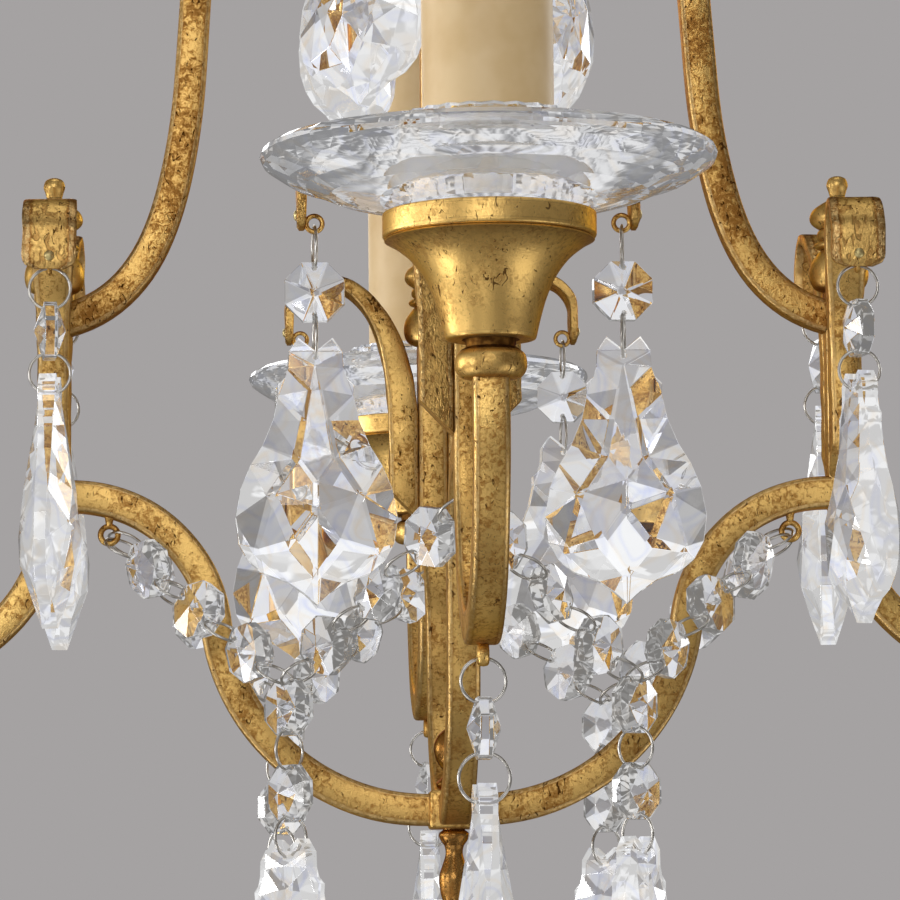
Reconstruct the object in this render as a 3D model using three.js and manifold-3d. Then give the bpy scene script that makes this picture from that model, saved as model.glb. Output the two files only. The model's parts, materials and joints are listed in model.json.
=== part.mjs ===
// Four-light cage chandelier of gilded wrought iron, hung with cut crystal.
// Millimetres, +Z up. The origin is where a hook bears inside the hanging loop.

import * as THREE from 'three';
import { mergeVertices } from 'three/addons/utils/BufferGeometryUtils.js';
import Module from 'manifold-3d';

const wasm = await Module();
wasm.setup();

// Heights below are measured from the centre of the bottom hub.

// Iron bar, and the gap that is left between pieces that touch
const barWidth = 8;
const seatGap = 0.3;
const weldDepth = 0.7;

// Posts and the J arms that run out of their feet
const postRadius = 100.8;
const postTop = 132;
const armBendRadius = 44.35;
const armBendHeight = 79.5;
const stemRise = 6.9;

// Crooks: forged out of the bar, square at the post and flat at the tip
const crookFoot = 84;
const crookLegTop = 108;
const crookApex = 150.5;
const crookApexReach = 30.5;
const crookReach = 39.4;
const crookTipDrop = 9;
const crookTip = 133;
const crookTipWidth = 13.5;
const crookTipThickness = 2.3;
const crookTipCorner = 2.5;

// Wire rings and the eyelets that they hang on
const ringRadius = 5.1;
const armDropRingRadius = 5.8;
const ringWire = 0.75;
const linkGap = 0.3;
const eyeletRadius = 2.2;
const crookEyeletRadius = 1.9;
const eyeletWire = 1.2;

// Upper bars, from the post up to the top hub
const upperBarFoot = 125.8;
const upperWaistRadius = 65;
const upperWaistHeight = 200;
const upperShoulderRadius = 54;
const upperShoulderHeight = 300;
const upperBarTop = 352;
const upperEyeletRise = -4;

// Lower bars, from the post down to the bottom hub
const lowerBarTop = 80.3;
const lowerBarBend = 36.8;
const lowerEyeletInset = 9.5;
const lowerEyeletStem = 2.2;

// Bottom hub, its rod and the turned pieces on it
const hubWidth = 12.7;
const hubHeight = 9.6;
const hubBore = 1.7;
const hubRodRadius = 1.4;
const hubFinialRadius = 5;
const hubFinialHeight = 16;
const bottomFinialRadius = 3.9;
const bottomFinialHeight = 30;
const rodDepth = 4.2;

// Finials on the posts
const postFinialRadius = 7.6;
const postFinialHeight = 30.2;

// Top hub and hanging loop
const topHubRadius = 11;
const topHubHeight = 52;
const topHubBore = 3.8;
const topHubBoreDepth = 12;
const loopRadius = 13;
const loopWire = 5;
const loopShankRadius = 3.5;
const loopShankLength = 11;

// Candle cup, glass bobeche, candle sleeve and lamp holder
const nippleRadius = 5;
const nippleLength = 59;
const nippleBore = 5.3;
const knobRadius = 7.8;
const knobHeight = 8.2;
const cupRimRadius = 23.4;
const cupHeight = 27.2;
const cupWall = 1.6;
const cupRecess = 3.2;
const bobecheRadius = 50;
const bobecheRise = 12.4;
const bobecheThickness = 4.6;
const bobecheFloor = 7;
const collarRadius = 20.5;
const collarRise = 21.4;
const sleeveRadius = 14.45;
const sleeveWall = 1;
const sleeveLength = 100;
const sleeveGap = 0.6;
const holderGap = 0.8;
const holderStemRadius = 7;
const holderStemLength = 56;
const holderSocketRadius = 8;
const holderSocketDepth = 27;
const holderFoot = 4;

// Crystals
const octagonWidth = 14;
const octagonThickness = 8;
const octagonHoleSpan = 11;
const pendalogueHeight = 63;
const pendalogueWidth = 38;
const pendalogueThickness = 16;
const pendalogueHoleDrop = 4.7;

// Facet counts
const turnedSides = 8;
const candleSides = 12;
const wireSides = 3;
const loopSides = 6;
const ringSteps = 6;
const eyeletSteps = 8;
const loopSteps = 12;
const bendSteps = 10;

// Sizes that follow from the ones above
const halfBar = barWidth / 2;
const stemTop = armBendHeight + stemRise;
const candleRadius = postRadius + 2 * armBendRadius;
const cupRimPlane = stemTop + seatGap + knobHeight + cupHeight;
const topHubTop = upperBarTop + topHubHeight / 2;
const loopCentre = topHubTop + loopWire / 2 + loopRadius;
const hangingPoint = loopCentre + loopRadius - loopWire / 2;
const ringSeat = eyeletWire / 2 + linkGap + ringWire / 2;
const octagonHole = octagonHoleSpan / 2;

const gilt = new THREE.MeshStandardMaterial({ color: 0xb08a42, roughness: 0.42, metalness: 0.9 });
const brass = new THREE.MeshStandardMaterial({ color: 0xa9823a, roughness: 0.35, metalness: 1 });
const crystal = new THREE.MeshStandardMaterial({ color: 0xf2f4f6, roughness: 0.03, metalness: 0 });
const card = new THREE.MeshStandardMaterial({ color: 0xc8aa78, roughness: 0.7, metalness: 0 });
const porcelain = new THREE.MeshStandardMaterial({ color: 0xe9e5dc, roughness: 0.3, metalness: 0 });

// Joins corner points into triangles, drops the empty ones and turns the faces outwards.
function closedGeometry(points, faces) {
  const raw = new THREE.BufferGeometry();
  raw.setAttribute('position', new THREE.Float32BufferAttribute(points.flatMap((p) => p.toArray()), 3));
  raw.setIndex(faces.flat());
  return tidyGeometry(raw);
}

function tidyGeometry(source) {
  const bare = source.clone();
  bare.deleteAttribute('normal');
  bare.deleteAttribute('uv');
  const merged = mergeVertices(bare);
  const order = merged.index.array;
  const place = merged.attributes.position;
  const a = new THREE.Vector3();
  const b = new THREE.Vector3();
  const c = new THREE.Vector3();
  const kept = [];
  let volume = 0;
  for (let i = 0; i < order.length; i += 3) {
    const [p, q, r] = [order[i], order[i + 1], order[i + 2]];
    if (p === q || q === r || r === p) continue;
    kept.push([p, q, r]);
    volume += a.fromBufferAttribute(place, p)
      .dot(b.fromBufferAttribute(place, q).cross(c.fromBufferAttribute(place, r)));
  }
  merged.setIndex(kept.flatMap(([p, q, r]) => (volume < 0 ? [p, r, q] : [p, q, r])));
  return merged;
}

function toManifold(geometry) {
  const tidy = tidyGeometry(geometry);
  return new wasm.Manifold(new wasm.Mesh({
    numProp: 3,
    vertProperties: new Float32Array(tidy.attributes.position.array),
    triVerts: new Uint32Array(tidy.index.array),
  }));
}

function toGeometry(manifold) {
  const mesh = manifold.getMesh();
  const geometry = new THREE.BufferGeometry();
  geometry.setAttribute('position', new THREE.BufferAttribute(new Float32Array(mesh.vertProperties), 3));
  geometry.setIndex(new THREE.BufferAttribute(new Uint32Array(mesh.triVerts), 1));
  return geometry;
}

function fuse(...geometries) {
  return toGeometry(geometries.map(toManifold).reduce((whole, piece) => whole.add(piece)));
}

function cut(geometry, ...tools) {
  return toGeometry(tools.map(toManifold).reduce((whole, tool) => whole.subtract(tool), toManifold(geometry)));
}

// Skins a row of corner rings; the row either closes on itself or is capped at both ends.
function loft(rings, closes = false) {
  const sides = rings[0].length;
  const faces = [];
  const last = closes ? rings.length : rings.length - 1;
  for (let row = 0; row < last; row += 1) {
    const here = row * sides;
    const next = ((row + 1) % rings.length) * sides;
    for (let side = 0; side < sides; side += 1) {
      const far = (side + 1) % sides;
      faces.push([here + side, next + side, next + far], [here + side, next + far, here + far]);
    }
  }
  if (!closes) {
    const end = (rings.length - 1) * sides;
    for (let side = 1; side < sides - 1; side += 1) {
      faces.push([0, side, side + 1], [end, end + side + 1, end + side]);
    }
  }
  return closedGeometry(rings.flat(), faces);
}

// A bar forged along a flat path. The path lies in X and Z, and the width is along Y.
// Each stretch gives its curve, its steps and its [width, thickness] at both ends.
function forgedBar(stretches, footSlope = 0, headSlope = 0) {
  const rings = [];
  stretches.forEach(({ curve, steps = 1, from, to = from }, order) => {
    for (let step = order === 0 ? 0 : 1; step <= steps; step += 1) {
      const share = step / steps;
      const at = curve.getPoint(share);
      const along = curve.getTangent(share);
      const halfWidth = THREE.MathUtils.lerp(from[0], to[0], share) / 2;
      const halfThickness = THREE.MathUtils.lerp(from[1], to[1], share) / 2;
      const isFoot = order === 0 && step === 0;
      const isHead = order === stretches.length - 1 && step === steps;
      const slope = (isFoot && footSlope) || (isHead && headSlope) || 0;
      const corner = (side, face) => new THREE.Vector3(
        at.x + face * halfThickness * (along.x * slope - along.y),
        side * halfWidth,
        at.y + face * halfThickness * (along.y * slope + along.x),
      );
      rings.push([corner(1, 1), corner(-1, 1), corner(-1, -1), corner(1, -1)]);
    }
  });
  return loft(rings);
}

const line = (x0, z0, x1, z1) => new THREE.LineCurve(new THREE.Vector2(x0, z0), new THREE.Vector2(x1, z1));

const bezier = (...places) => new THREE.CubicBezierCurve(...places.map(([x, z]) => new THREE.Vector2(x, z)));

function arc(x, z, radius, startDegrees, endDegrees) {
  const [start, end] = [startDegrees, endDegrees].map(THREE.MathUtils.degToRad);
  return new THREE.EllipseCurve(x, z, radius, radius, start, end, endDegrees < startDegrees);
}

const unitX = new THREE.Vector3(1, 0, 0);
const unitY = new THREE.Vector3(0, 1, 0);
const unitZ = new THREE.Vector3(0, 0, 1);

// A wire ring in the plane of two unit directions, with its first corner along the first one.
function wireRing(centre, radius, wire, first, second, steps = ringSteps, sides = wireSides) {
  const facing = first.clone().cross(second);
  const rings = [];
  for (let step = 0; step < steps; step += 1) {
    const turn = (2 * Math.PI * step) / steps;
    const outward = first.clone().multiplyScalar(Math.cos(turn)).addScaledVector(second, Math.sin(turn));
    const ring = [];
    for (let side = 0; side < sides; side += 1) {
      const roll = (2 * Math.PI * side) / sides;
      ring.push(centre.clone()
        .addScaledVector(outward, radius - (wire / 2) * Math.cos(roll))
        .addScaledVector(facing, (wire / 2) * Math.sin(roll)));
    }
    rings.push(ring);
  }
  return loft(rings, true);
}

// A turned piece. Each place on its profile is a radius and a height.
function turned(profile, sides = turnedSides) {
  return new THREE.LatheGeometry(profile.map(([radius, height]) => new THREE.Vector2(radius, height)), sides)
    .rotateX(Math.PI / 2);
}

// Turns shares of a radius and of a height into places on a profile.
function scaledProfile(shares, radius, height, base = 0) {
  return shares.map(([radiusShare, heightShare]) => [radiusShare * radius, base + heightShare * height]);
}

// Crooks

const crookEyelet = {
  reach: crookReach - crookTipThickness / 2 - crookEyeletRadius,
  height: crookTip + crookEyeletRadius - weldDepth,
};

// A crook stands beside its post, arches away from it and is flattened to a lobe at the tip.
function crook(side) {
  const square = [barWidth, barWidth];
  const flat = [crookTipWidth, crookTipThickness];
  const neckShare = 0.5;
  const neck = square.map((size, index) => THREE.MathUtils.lerp(size, flat[index], neckShare));
  const corner = [crookTipWidth - 2 * crookTipCorner, crookTipThickness];
  const riseShare = 0.62;
  const sweepShare = 0.6;
  const roundShare = 0.55;
  const tipStart = crookApex - crookTipDrop;
  const bar = forgedBar([
    { curve: line(barWidth, crookFoot + halfBar, barWidth, crookLegTop), from: square },
    {
      curve: bezier(
        [barWidth, crookLegTop],
        [barWidth, THREE.MathUtils.lerp(crookLegTop, crookApex, riseShare)],
        [THREE.MathUtils.lerp(crookApexReach, barWidth, sweepShare), crookApex],
        [crookApexReach, crookApex],
      ),
      steps: 6,
      from: square,
      to: neck,
    },
    {
      curve: bezier(
        [crookApexReach, crookApex],
        [THREE.MathUtils.lerp(crookApexReach, crookReach, roundShare), crookApex],
        [crookReach, THREE.MathUtils.lerp(tipStart, crookApex, roundShare)],
        [crookReach, tipStart],
      ),
      steps: 3,
      from: neck,
      to: flat,
    },
    { curve: line(crookReach, tipStart, crookReach, crookTip + crookTipCorner), from: flat },
    { curve: line(crookReach, crookTip + crookTipCorner, crookReach, crookTip), from: flat, to: corner },
  ], -1);
  const eyelet = wireRing(
    new THREE.Vector3(crookEyelet.reach, 0, crookEyelet.height),
    crookEyeletRadius, eyeletWire, unitZ, unitX, eyeletSteps,
  );
  return fuse(bar, eyelet)
    .rotateZ((side * Math.PI) / 2)
    .translate(postRadius, 0, 0);
}

// Posts and J arms

const armEyelet = {
  radius: postRadius + armBendRadius,
  height: armBendHeight - armBendRadius - halfBar - eyeletRadius - eyeletWire / 2 + weldDepth,
};

// One welded piece: post, J arm, threaded nipple, the eyelet under the J and two crooks.
function postArm() {
  const square = [barWidth, barWidth];
  const bar = forgedBar([
    { curve: line(postRadius, postTop, postRadius, armBendHeight), from: square },
    {
      curve: arc(postRadius + armBendRadius, armBendHeight, armBendRadius, 180, 360),
      steps: bendSteps,
      from: square,
    },
    { curve: line(candleRadius, armBendHeight, candleRadius, stemTop), from: square },
  ]);
  const nipple = new THREE.CylinderGeometry(nippleRadius, nippleRadius, nippleLength + weldDepth, turnedSides)
    .rotateX(Math.PI / 2)
    .translate(candleRadius, 0, stemTop + (nippleLength - weldDepth) / 2);
  const eyelet = wireRing(
    new THREE.Vector3(armEyelet.radius, 0, armEyelet.height),
    eyeletRadius, eyeletWire, unitZ, unitX, eyeletSteps,
  );
  return fuse(bar, nipple, eyelet, crook(1), crook(-1));
}

function postFinial() {
  const shares = [
    [0, 0], [0.6, 0], [1, 0.12], [0.94, 0.26], [0.55, 0.35], [0.6, 0.43],
    [0.92, 0.55], [0.8, 0.68], [0.28, 0.8], [0.33, 0.92], [0, 1],
  ];
  return turned(scaledProfile(shares, postFinialRadius, postFinialHeight, postTop + seatGap));
}

// Upper bars

// Leans are measured from level, and each handle is a share of the stretch that it steers.
const upperFootLean = 15;
const upperWaistLean = 86.5;
const upperShoulderLean = 77;
const upperCurves = makeUpperCurves();

function makeUpperCurves() {
  const start = [postRadius - halfBar - seatGap, upperBarFoot];
  const waist = [upperWaistRadius, upperWaistHeight];
  const shoulder = [upperShoulderRadius, upperShoulderHeight];
  const end = [topHubRadius + seatGap, upperBarTop];
  const handleShares = [0.3, 0.52, 0.33, 0.33, 0.5, 0.42];
  const reach = ([x0, z0], [x1, z1], share) => share * Math.hypot(x1 - x0, z1 - z0);
  const steer = ([x, z], degrees, distance) => {
    const lean = THREE.MathUtils.degToRad(degrees);
    return [x - distance * Math.cos(lean), z + distance * Math.sin(lean)];
  };
  const stretch = (from, fromLean, fromShare, to, toLean, toShare) => bezier(
    from,
    steer(from, fromLean, reach(from, to, fromShare)),
    steer(to, toLean, -reach(from, to, toShare)),
    to,
  );
  return {
    foot: stretch(start, upperFootLean, handleShares[0], waist, upperWaistLean, handleShares[1]),
    side: stretch(waist, upperWaistLean, handleShares[2], shoulder, upperShoulderLean, handleShares[3]),
    shoulder: stretch(shoulder, upperShoulderLean, handleShares[4], end, 0, handleShares[5]),
  };
}

// The eyelet on the inner face of an upper bar, which carries the ends of two swags.
function upperEyelet() {
  const lean = THREE.MathUtils.degToRad(upperShoulderLean);
  const root = upperShoulderRadius - upperEyeletRise / Math.tan(lean) - halfBar / Math.sin(lean);
  const radius = root - eyeletRadius - eyeletWire / 2 + weldDepth;
  return new THREE.Vector3(radius, 0, upperShoulderHeight + upperEyeletRise);
}

function upperBar() {
  const square = [barWidth, barWidth];
  const bar = forgedBar([
    { curve: upperCurves.foot, steps: 8, from: square },
    { curve: upperCurves.side, steps: 2, from: square },
    { curve: upperCurves.shoulder, steps: 6, from: square },
  ], -Math.tan(THREE.MathUtils.degToRad(upperFootLean)));
  const eyelet = upperEyelet();
  return fuse(bar, swagEyeletRing(eyelet, swagPull(eyelet, beadCount(eyelet.x, upperSlackShare))));
}

// Lower bars

// Two tangent arcs, level at the post and level at the hub.
function lowerBar() {
  const square = [barWidth, barWidth];
  const startX = postRadius - halfBar - seatGap;
  const endX = hubWidth / 2 + seatGap;
  const across = startX - endX;
  const hubBend = (across ** 2 + lowerBarTop ** 2) / (2 * lowerBarTop) - lowerBarBend;
  const rise = hubBend - (lowerBarTop - lowerBarBend);
  const lean = THREE.MathUtils.radToDeg(Math.atan2(rise, across));
  const bar = forgedBar([
    {
      curve: arc(startX, lowerBarTop - lowerBarBend, lowerBarBend, 90, 180 - lean),
      steps: 7,
      from: square,
    },
    { curve: arc(endX, hubBend, hubBend, -lean, -90), steps: 8, from: square },
  ]);
  const eyelet = lowerEyelet();
  const stemLength = lowerEyeletStem + weldDepth;
  const stem = new THREE.CylinderGeometry(eyeletWire / 2, eyeletWire / 2, stemLength, turnedSides)
    .rotateX(Math.PI / 2)
    .translate(eyelet.x, 0, eyelet.z + eyeletRadius + stemLength / 2);
  return fuse(bar, stem, swagEyeletRing(eyelet, swagPull(eyelet, beadCount(eyelet.x, lowerSlackShare))));
}

// The eyelet under a lower bar, which carries the ends of two swags.
function lowerEyelet() {
  const rise = Math.sqrt(lowerBarBend ** 2 - lowerEyeletInset ** 2);
  const slant = rise / lowerBarBend;
  return new THREE.Vector3(
    postRadius - halfBar - seatGap - lowerEyeletInset,
    0,
    lowerBarTop - lowerBarBend + rise - halfBar / slant - lowerEyeletStem - eyeletRadius,
  );
}

// Hubs

function bottomHub() {
  const block = new THREE.BoxGeometry(hubWidth, hubWidth, hubHeight);
  const bore = new THREE.CylinderGeometry(hubBore, hubBore, 2 * hubHeight, turnedSides).rotateX(Math.PI / 2);
  return cut(block, bore);
}

// The rod of the ball finial runs down through the hub and into the vase below it.
function hubFinial() {
  const base = hubHeight / 2 + seatGap;
  const shares = [
    [0.62, 0], [0.86, 0.06], [0.86, 0.16], [0.5, 0.3], [0.85, 0.46], [1, 0.66], [0.8, 0.88], [0, 1],
  ];
  const foot = -hubHeight / 2 - seatGap - rodDepth;
  return turned([
    [0, foot], [hubRodRadius, foot], [hubRodRadius, base],
    ...scaledProfile(shares, hubFinialRadius, hubFinialHeight, base),
  ]);
}

const bottomFinialTip = -hubHeight / 2 - seatGap - bottomFinialHeight;
const bottomEyeletHeight = bottomFinialTip - eyeletRadius - eyeletWire / 2 + weldDepth;

function bottomFinial() {
  const top = -hubHeight / 2 - seatGap;
  const shares = [
    [0.82, 0], [0.98, 0.05], [0.9, 0.1], [0.56, 0.18], [0.86, 0.32], [1, 0.42],
    [0.9, 0.56], [0.42, 0.72], [0.6, 0.8], [0.44, 0.9], [0, 1],
  ];
  const body = turned([
    [0, top - rodDepth - seatGap], [hubBore, top - rodDepth - seatGap], [hubBore, top],
    ...scaledProfile(shares, bottomFinialRadius, -bottomFinialHeight, top),
  ]);
  const centre = new THREE.Vector3(0, 0, bottomEyeletHeight);
  const eyelet = wireRing(centre, eyeletRadius, eyeletWire, unitZ, unitX, eyeletSteps);
  return fuse(body, eyelet);
}

function topHub() {
  const shares = [
    [0, 0], [0.42, 0.06], [0.3, 0.14], [0.86, 0.27], [1, 0.32], [1, 0.68],
    [0.84, 0.73], [0.46, 0.84], [0.7, 0.92], [0.66, 1],
  ];
  return turned([
    ...scaledProfile(shares, topHubRadius, topHubHeight, topHubTop - topHubHeight),
    [topHubBore, topHubTop], [topHubBore, topHubTop - topHubBoreDepth], [0, topHubTop - topHubBoreDepth],
  ]);
}

function hangingLoop() {
  const ring = wireRing(
    new THREE.Vector3(0, 0, loopCentre), loopRadius, loopWire, unitZ, unitX, loopSteps, loopSides,
  );
  const shank = new THREE.CylinderGeometry(loopShankRadius, loopShankRadius, loopShankLength, turnedSides)
    .rotateX(Math.PI / 2)
    .translate(0, 0, topHubTop - loopShankLength / 2 + loopWire / 2);
  return fuse(ring, shank);
}

// Candle fittings

// Turned cup with its knob. The nipple runs up through it, and the glass sits in the rim.
function cup() {
  const base = stemTop + seatGap;
  const foot = base + knobHeight;
  const knobShares = [[0.72, 0], [1, 0.3], [1, 0.7], [0.8, 1]];
  const cupShares = [[0.43, 0], [0.536, 0.265], [0.632, 0.456], [0.795, 0.621], [1, 0.8], [1, 1]];
  const lip = cupRimRadius - cupWall;
  const floor = cupRimPlane - cupRecess;
  const profile = [
    [nippleBore, base],
    ...scaledProfile(knobShares, knobRadius, knobHeight, base),
    ...scaledProfile(cupShares, cupRimRadius, cupHeight, foot),
    [lip, cupRimPlane], [lip, floor], [nippleBore, floor], [nippleBore, base],
  ];
  return turned(profile, candleSides).translate(candleRadius, 0, 0);
}

// Thick glass saucer with a foot that drops into the cup and a collar round the candle.
function bobeche() {
  const plane = cupRimPlane;
  const foot = cupRimRadius - cupWall - seatGap;
  const bed = plane - cupRecess + seatGap;
  const floor = plane + bobecheFloor;
  const rim = plane + bobecheRise;
  const seat = sleeveRadius + sleeveGap;
  const rimShare = 0.9;
  const profile = [
    [nippleBore, bed], [foot, bed], [foot, plane + seatGap],
    [bobecheRadius * rimShare, rim - bobecheThickness * rimShare], [bobecheRadius, rim],
    [bobecheRadius * rimShare, rim + bobecheThickness * rimShare / 2],
    [collarRadius, floor + bobecheThickness], [collarRadius, plane + collarRise],
    [seat, plane + collarRise], [seat, floor], [nippleBore, floor], [nippleBore, bed],
  ];
  return turned(profile, candleSides).translate(candleRadius, 0, 0);
}

function sleeve() {
  const foot = cupRimPlane + bobecheFloor + seatGap;
  const bore = sleeveRadius - sleeveWall;
  const profile = [
    [bore, foot], [sleeveRadius, foot], [sleeveRadius, foot + sleeveLength],
    [bore, foot + sleeveLength], [bore, foot],
  ];
  return turned(profile, candleSides).translate(candleRadius, 0, 0);
}

// Lamp holder on the nipple: a foot, a stem and a socket that opens at the sleeve's mouth.
function lampHolder() {
  const foot = cupRimPlane + bobecheFloor + seatGap;
  const body = sleeveRadius - sleeveWall - holderGap;
  const mouth = foot + sleeveLength - seatGap;
  const nippleTop = stemTop + nippleLength + seatGap;
  const stemEnd = foot + holderStemLength;
  const profile = [
    [0, nippleTop], [nippleBore, nippleTop], [nippleBore, foot], [body, foot],
    [holderStemRadius, foot + holderFoot], [holderStemRadius, stemEnd], [body, stemEnd + holderFoot],
    [body, mouth], [holderSocketRadius, mouth], [holderSocketRadius, mouth - holderSocketDepth],
    [0, mouth - holderSocketDepth],
  ];
  return turned(profile).translate(candleRadius, 0, 0);
}

// Crystals

// Octagon bead: a low eight-sided pyramid on each face. Its faces look along X.
function octagonBead() {
  const sides = 8;
  const corner = octagonWidth / 2 / Math.cos(Math.PI / sides);
  const rim = Array.from({ length: sides }, (_, side) => {
    const turn = (2 * Math.PI * (side + 1 / 2)) / sides;
    return new THREE.Vector3(0, corner * Math.cos(turn), corner * Math.sin(turn));
  });
  const apex = (depth) => Array.from({ length: sides }, () => new THREE.Vector3(depth, 0, 0));
  return loft([apex(-octagonThickness / 2), rim, apex(octagonThickness / 2)]);
}

// Pendalogue: a flat pear with stepped shoulders. It hangs from its hole and looks along X.
function pendalogue() {
  // Shares of the height from the top, of the half width and of the half thickness
  const outlineShares = [
    [0, 0.24, 0.3], [0.152, 0.37, 0.42], [0.18, 0.47, 0.46], [0.31, 0.53, 0.62], [0.476, 0.81, 0.86],
    [0.675, 1, 1], [0.835, 0.84, 0.66], [0.91, 0.4, 0.5], [1, 0.03, 0.2],
  ];
  return loft(outlineShares.map(([down, wide, thick]) => {
    const z = pendalogueHoleDrop - down * pendalogueHeight;
    const y = (wide * pendalogueWidth) / 2;
    const spine = (thick * pendalogueThickness) / 2;
    return [
      new THREE.Vector3(spine, 0, z), new THREE.Vector3(0, y, z),
      new THREE.Vector3(-spine, 0, z), new THREE.Vector3(0, -y, z),
    ];
  }));
}

// Crystals hung under each other from z = 0. Rings stand square to the faces, which look along X.
// Each entry of the string is the radius of a ring, and an octagon hangs between two rings.
function crystalString(rings, firstRise = 0) {
  const parts = [];
  let height = firstRise;
  rings.forEach((radius, order) => {
    parts.push(wireRing(new THREE.Vector3(0, 0, height - radius), radius, ringWire, unitZ, unitX));
    height -= 2 * radius;
    if (order < rings.length - 1) {
      parts.push(octagonBead().translate(0, 0, height - octagonHole));
      height -= octagonHoleSpan;
    }
  });
  parts.push(pendalogue().translate(0, 0, height));
  return fuse(...parts);
}

// Swags

// Half a swag: rings and octagons laid straight from the eyelet to the junction octagon.
const halfSwagLength = (beads) => (beads + 1) * 2 * ringRadius - ringSeat + beads * octagonHoleSpan;

// The slack is the least length of a half swag, as a share of the half span that it bridges.
const lowerSlackShare = 1.1;
const upperSlackShare = 1.3;

// The beads that a half swag needs between eyelets at the given radius, a quarter turn apart.
function beadCount(radius, slackShare) {
  const least = (slackShare * radius) / Math.SQRT2;
  return Math.ceil((least + ringSeat - 2 * ringRadius) / (2 * ringRadius + octagonHoleSpan));
}

// How deep a swag hangs when its eyelets stand at the given radius, a quarter turn apart.
function swagDepth(radius, beads) {
  return Math.sqrt(halfSwagLength(beads) ** 2 - radius ** 2 / 2);
}

// The angle, below level, at which two swags pull on an eyelet, and the corner between them
const swagPull = (eyelet, beads) => Math.atan2(swagDepth(eyelet.x, beads), eyelet.x);
const eyeletCorner = Math.PI / eyeletSteps;

// Where a swag's end ring bears on its eyelet: one swag on each side of the line of pull.
function swagEnd(eyelet, pull, side) {
  const turn = pull + side * eyeletCorner;
  return new THREE.Vector3(
    eyelet.x - eyeletRadius * Math.cos(turn), 0, eyelet.z - eyeletRadius * Math.sin(turn),
  );
}

function swagEyeletRing(eyelet, pull) {
  const turn = pull + eyeletCorner;
  const first = new THREE.Vector3(-Math.cos(turn), 0, -Math.sin(turn));
  const second = new THREE.Vector3(-Math.sin(turn), 0, Math.cos(turn));
  return wireRing(eyelet, eyeletRadius, eyeletWire, first, second, eyeletSteps);
}

// The whole swag along X, from -halfSpan to halfSpan, with its junction octagon and its string.
function swagGeometry(halfSpan, beads, string) {
  const length = halfSwagLength(beads);
  const depth = Math.sqrt(length ** 2 - halfSpan ** 2);
  const parts = [octagonBead().rotateZ(Math.PI / 2).translate(0, 0, -depth - octagonHole)];
  [-1, 1].forEach((side) => {
    const start = new THREE.Vector3(side * halfSpan, 0, 0);
    const lay = new THREE.Vector3(-side * halfSpan, 0, -depth).normalize();
    const tilt = Math.atan2(lay.z, lay.x);
    let walked = -ringSeat;
    for (let link = 0; link <= beads; link += 1) {
      const centre = start.clone().addScaledVector(lay, walked + ringRadius);
      parts.push(wireRing(centre, ringRadius, ringWire, lay, unitY));
      walked += 2 * ringRadius;
      if (link < beads) {
        const place = start.clone().addScaledVector(lay, walked + octagonHole);
        parts.push(octagonBead().rotateZ(Math.PI / 2).rotateY(-tilt).translate(place.x, 0, place.z));
        walked += octagonHoleSpan;
      }
    }
  });
  parts.push(string.rotateZ(Math.PI / 2).translate(0, 0, -depth - octagonHoleSpan));
  return fuse(...parts);
}

// Lays a swag from one arm's eyelet to the same eyelet a quarter turn on.
function swagMesh(name, eyelet, slackShare, string) {
  const beads = beadCount(eyelet.x, slackShare);
  const pull = swagPull(eyelet, beads);
  const from = swagEnd(eyelet, pull, 1);
  const to = swagEnd(eyelet, pull, -1).applyAxisAngle(unitZ, Math.PI / 2);
  const chord = to.clone().sub(from);
  const run = chord.clone().normalize();
  const across = unitZ.clone().cross(run).normalize();
  const mesh = new THREE.Mesh(swagGeometry(chord.length() / 2, beads, string), crystal);
  mesh.name = name;
  mesh.quaternion.setFromRotationMatrix(new THREE.Matrix4().makeBasis(run, across, run.clone().cross(across)));
  mesh.position.copy(from).addScaledVector(chord, 1 / 2);
  return mesh;
}

// Assembly

const chandelier = new THREE.Group();
chandelier.position.z = -hangingPoint;

function piece(name, geometry, material, x = 0, y = 0, z = 0) {
  const mesh = new THREE.Mesh(geometry, material);
  mesh.name = name;
  mesh.position.set(x, y, z);
  return mesh;
}

const arms = [
  { name: 'front', degrees: -90, minus: 'left', plus: 'right', swag: 'front_right' },
  { name: 'right', degrees: 0, minus: 'front', plus: 'rear', swag: 'rear_right' },
  { name: 'rear', degrees: 90, minus: 'right', plus: 'left', swag: 'rear_left' },
  { name: 'left', degrees: 180, minus: 'rear', plus: 'front', swag: 'front_left' },
];

const crookString = crystalString([ringRadius, ringRadius], ringSeat);
const armString = crystalString([ringRadius, armDropRingRadius], ringSeat).rotateZ(Math.PI / 2);
const shapes = {
  postArm: postArm(),
  postFinial: postFinial(),
  upperBar: upperBar(),
  lowerBar: lowerBar(),
  cup: cup(),
  bobeche: bobeche(),
  sleeve: sleeve(),
  lampHolder: lampHolder(),
};

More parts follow.
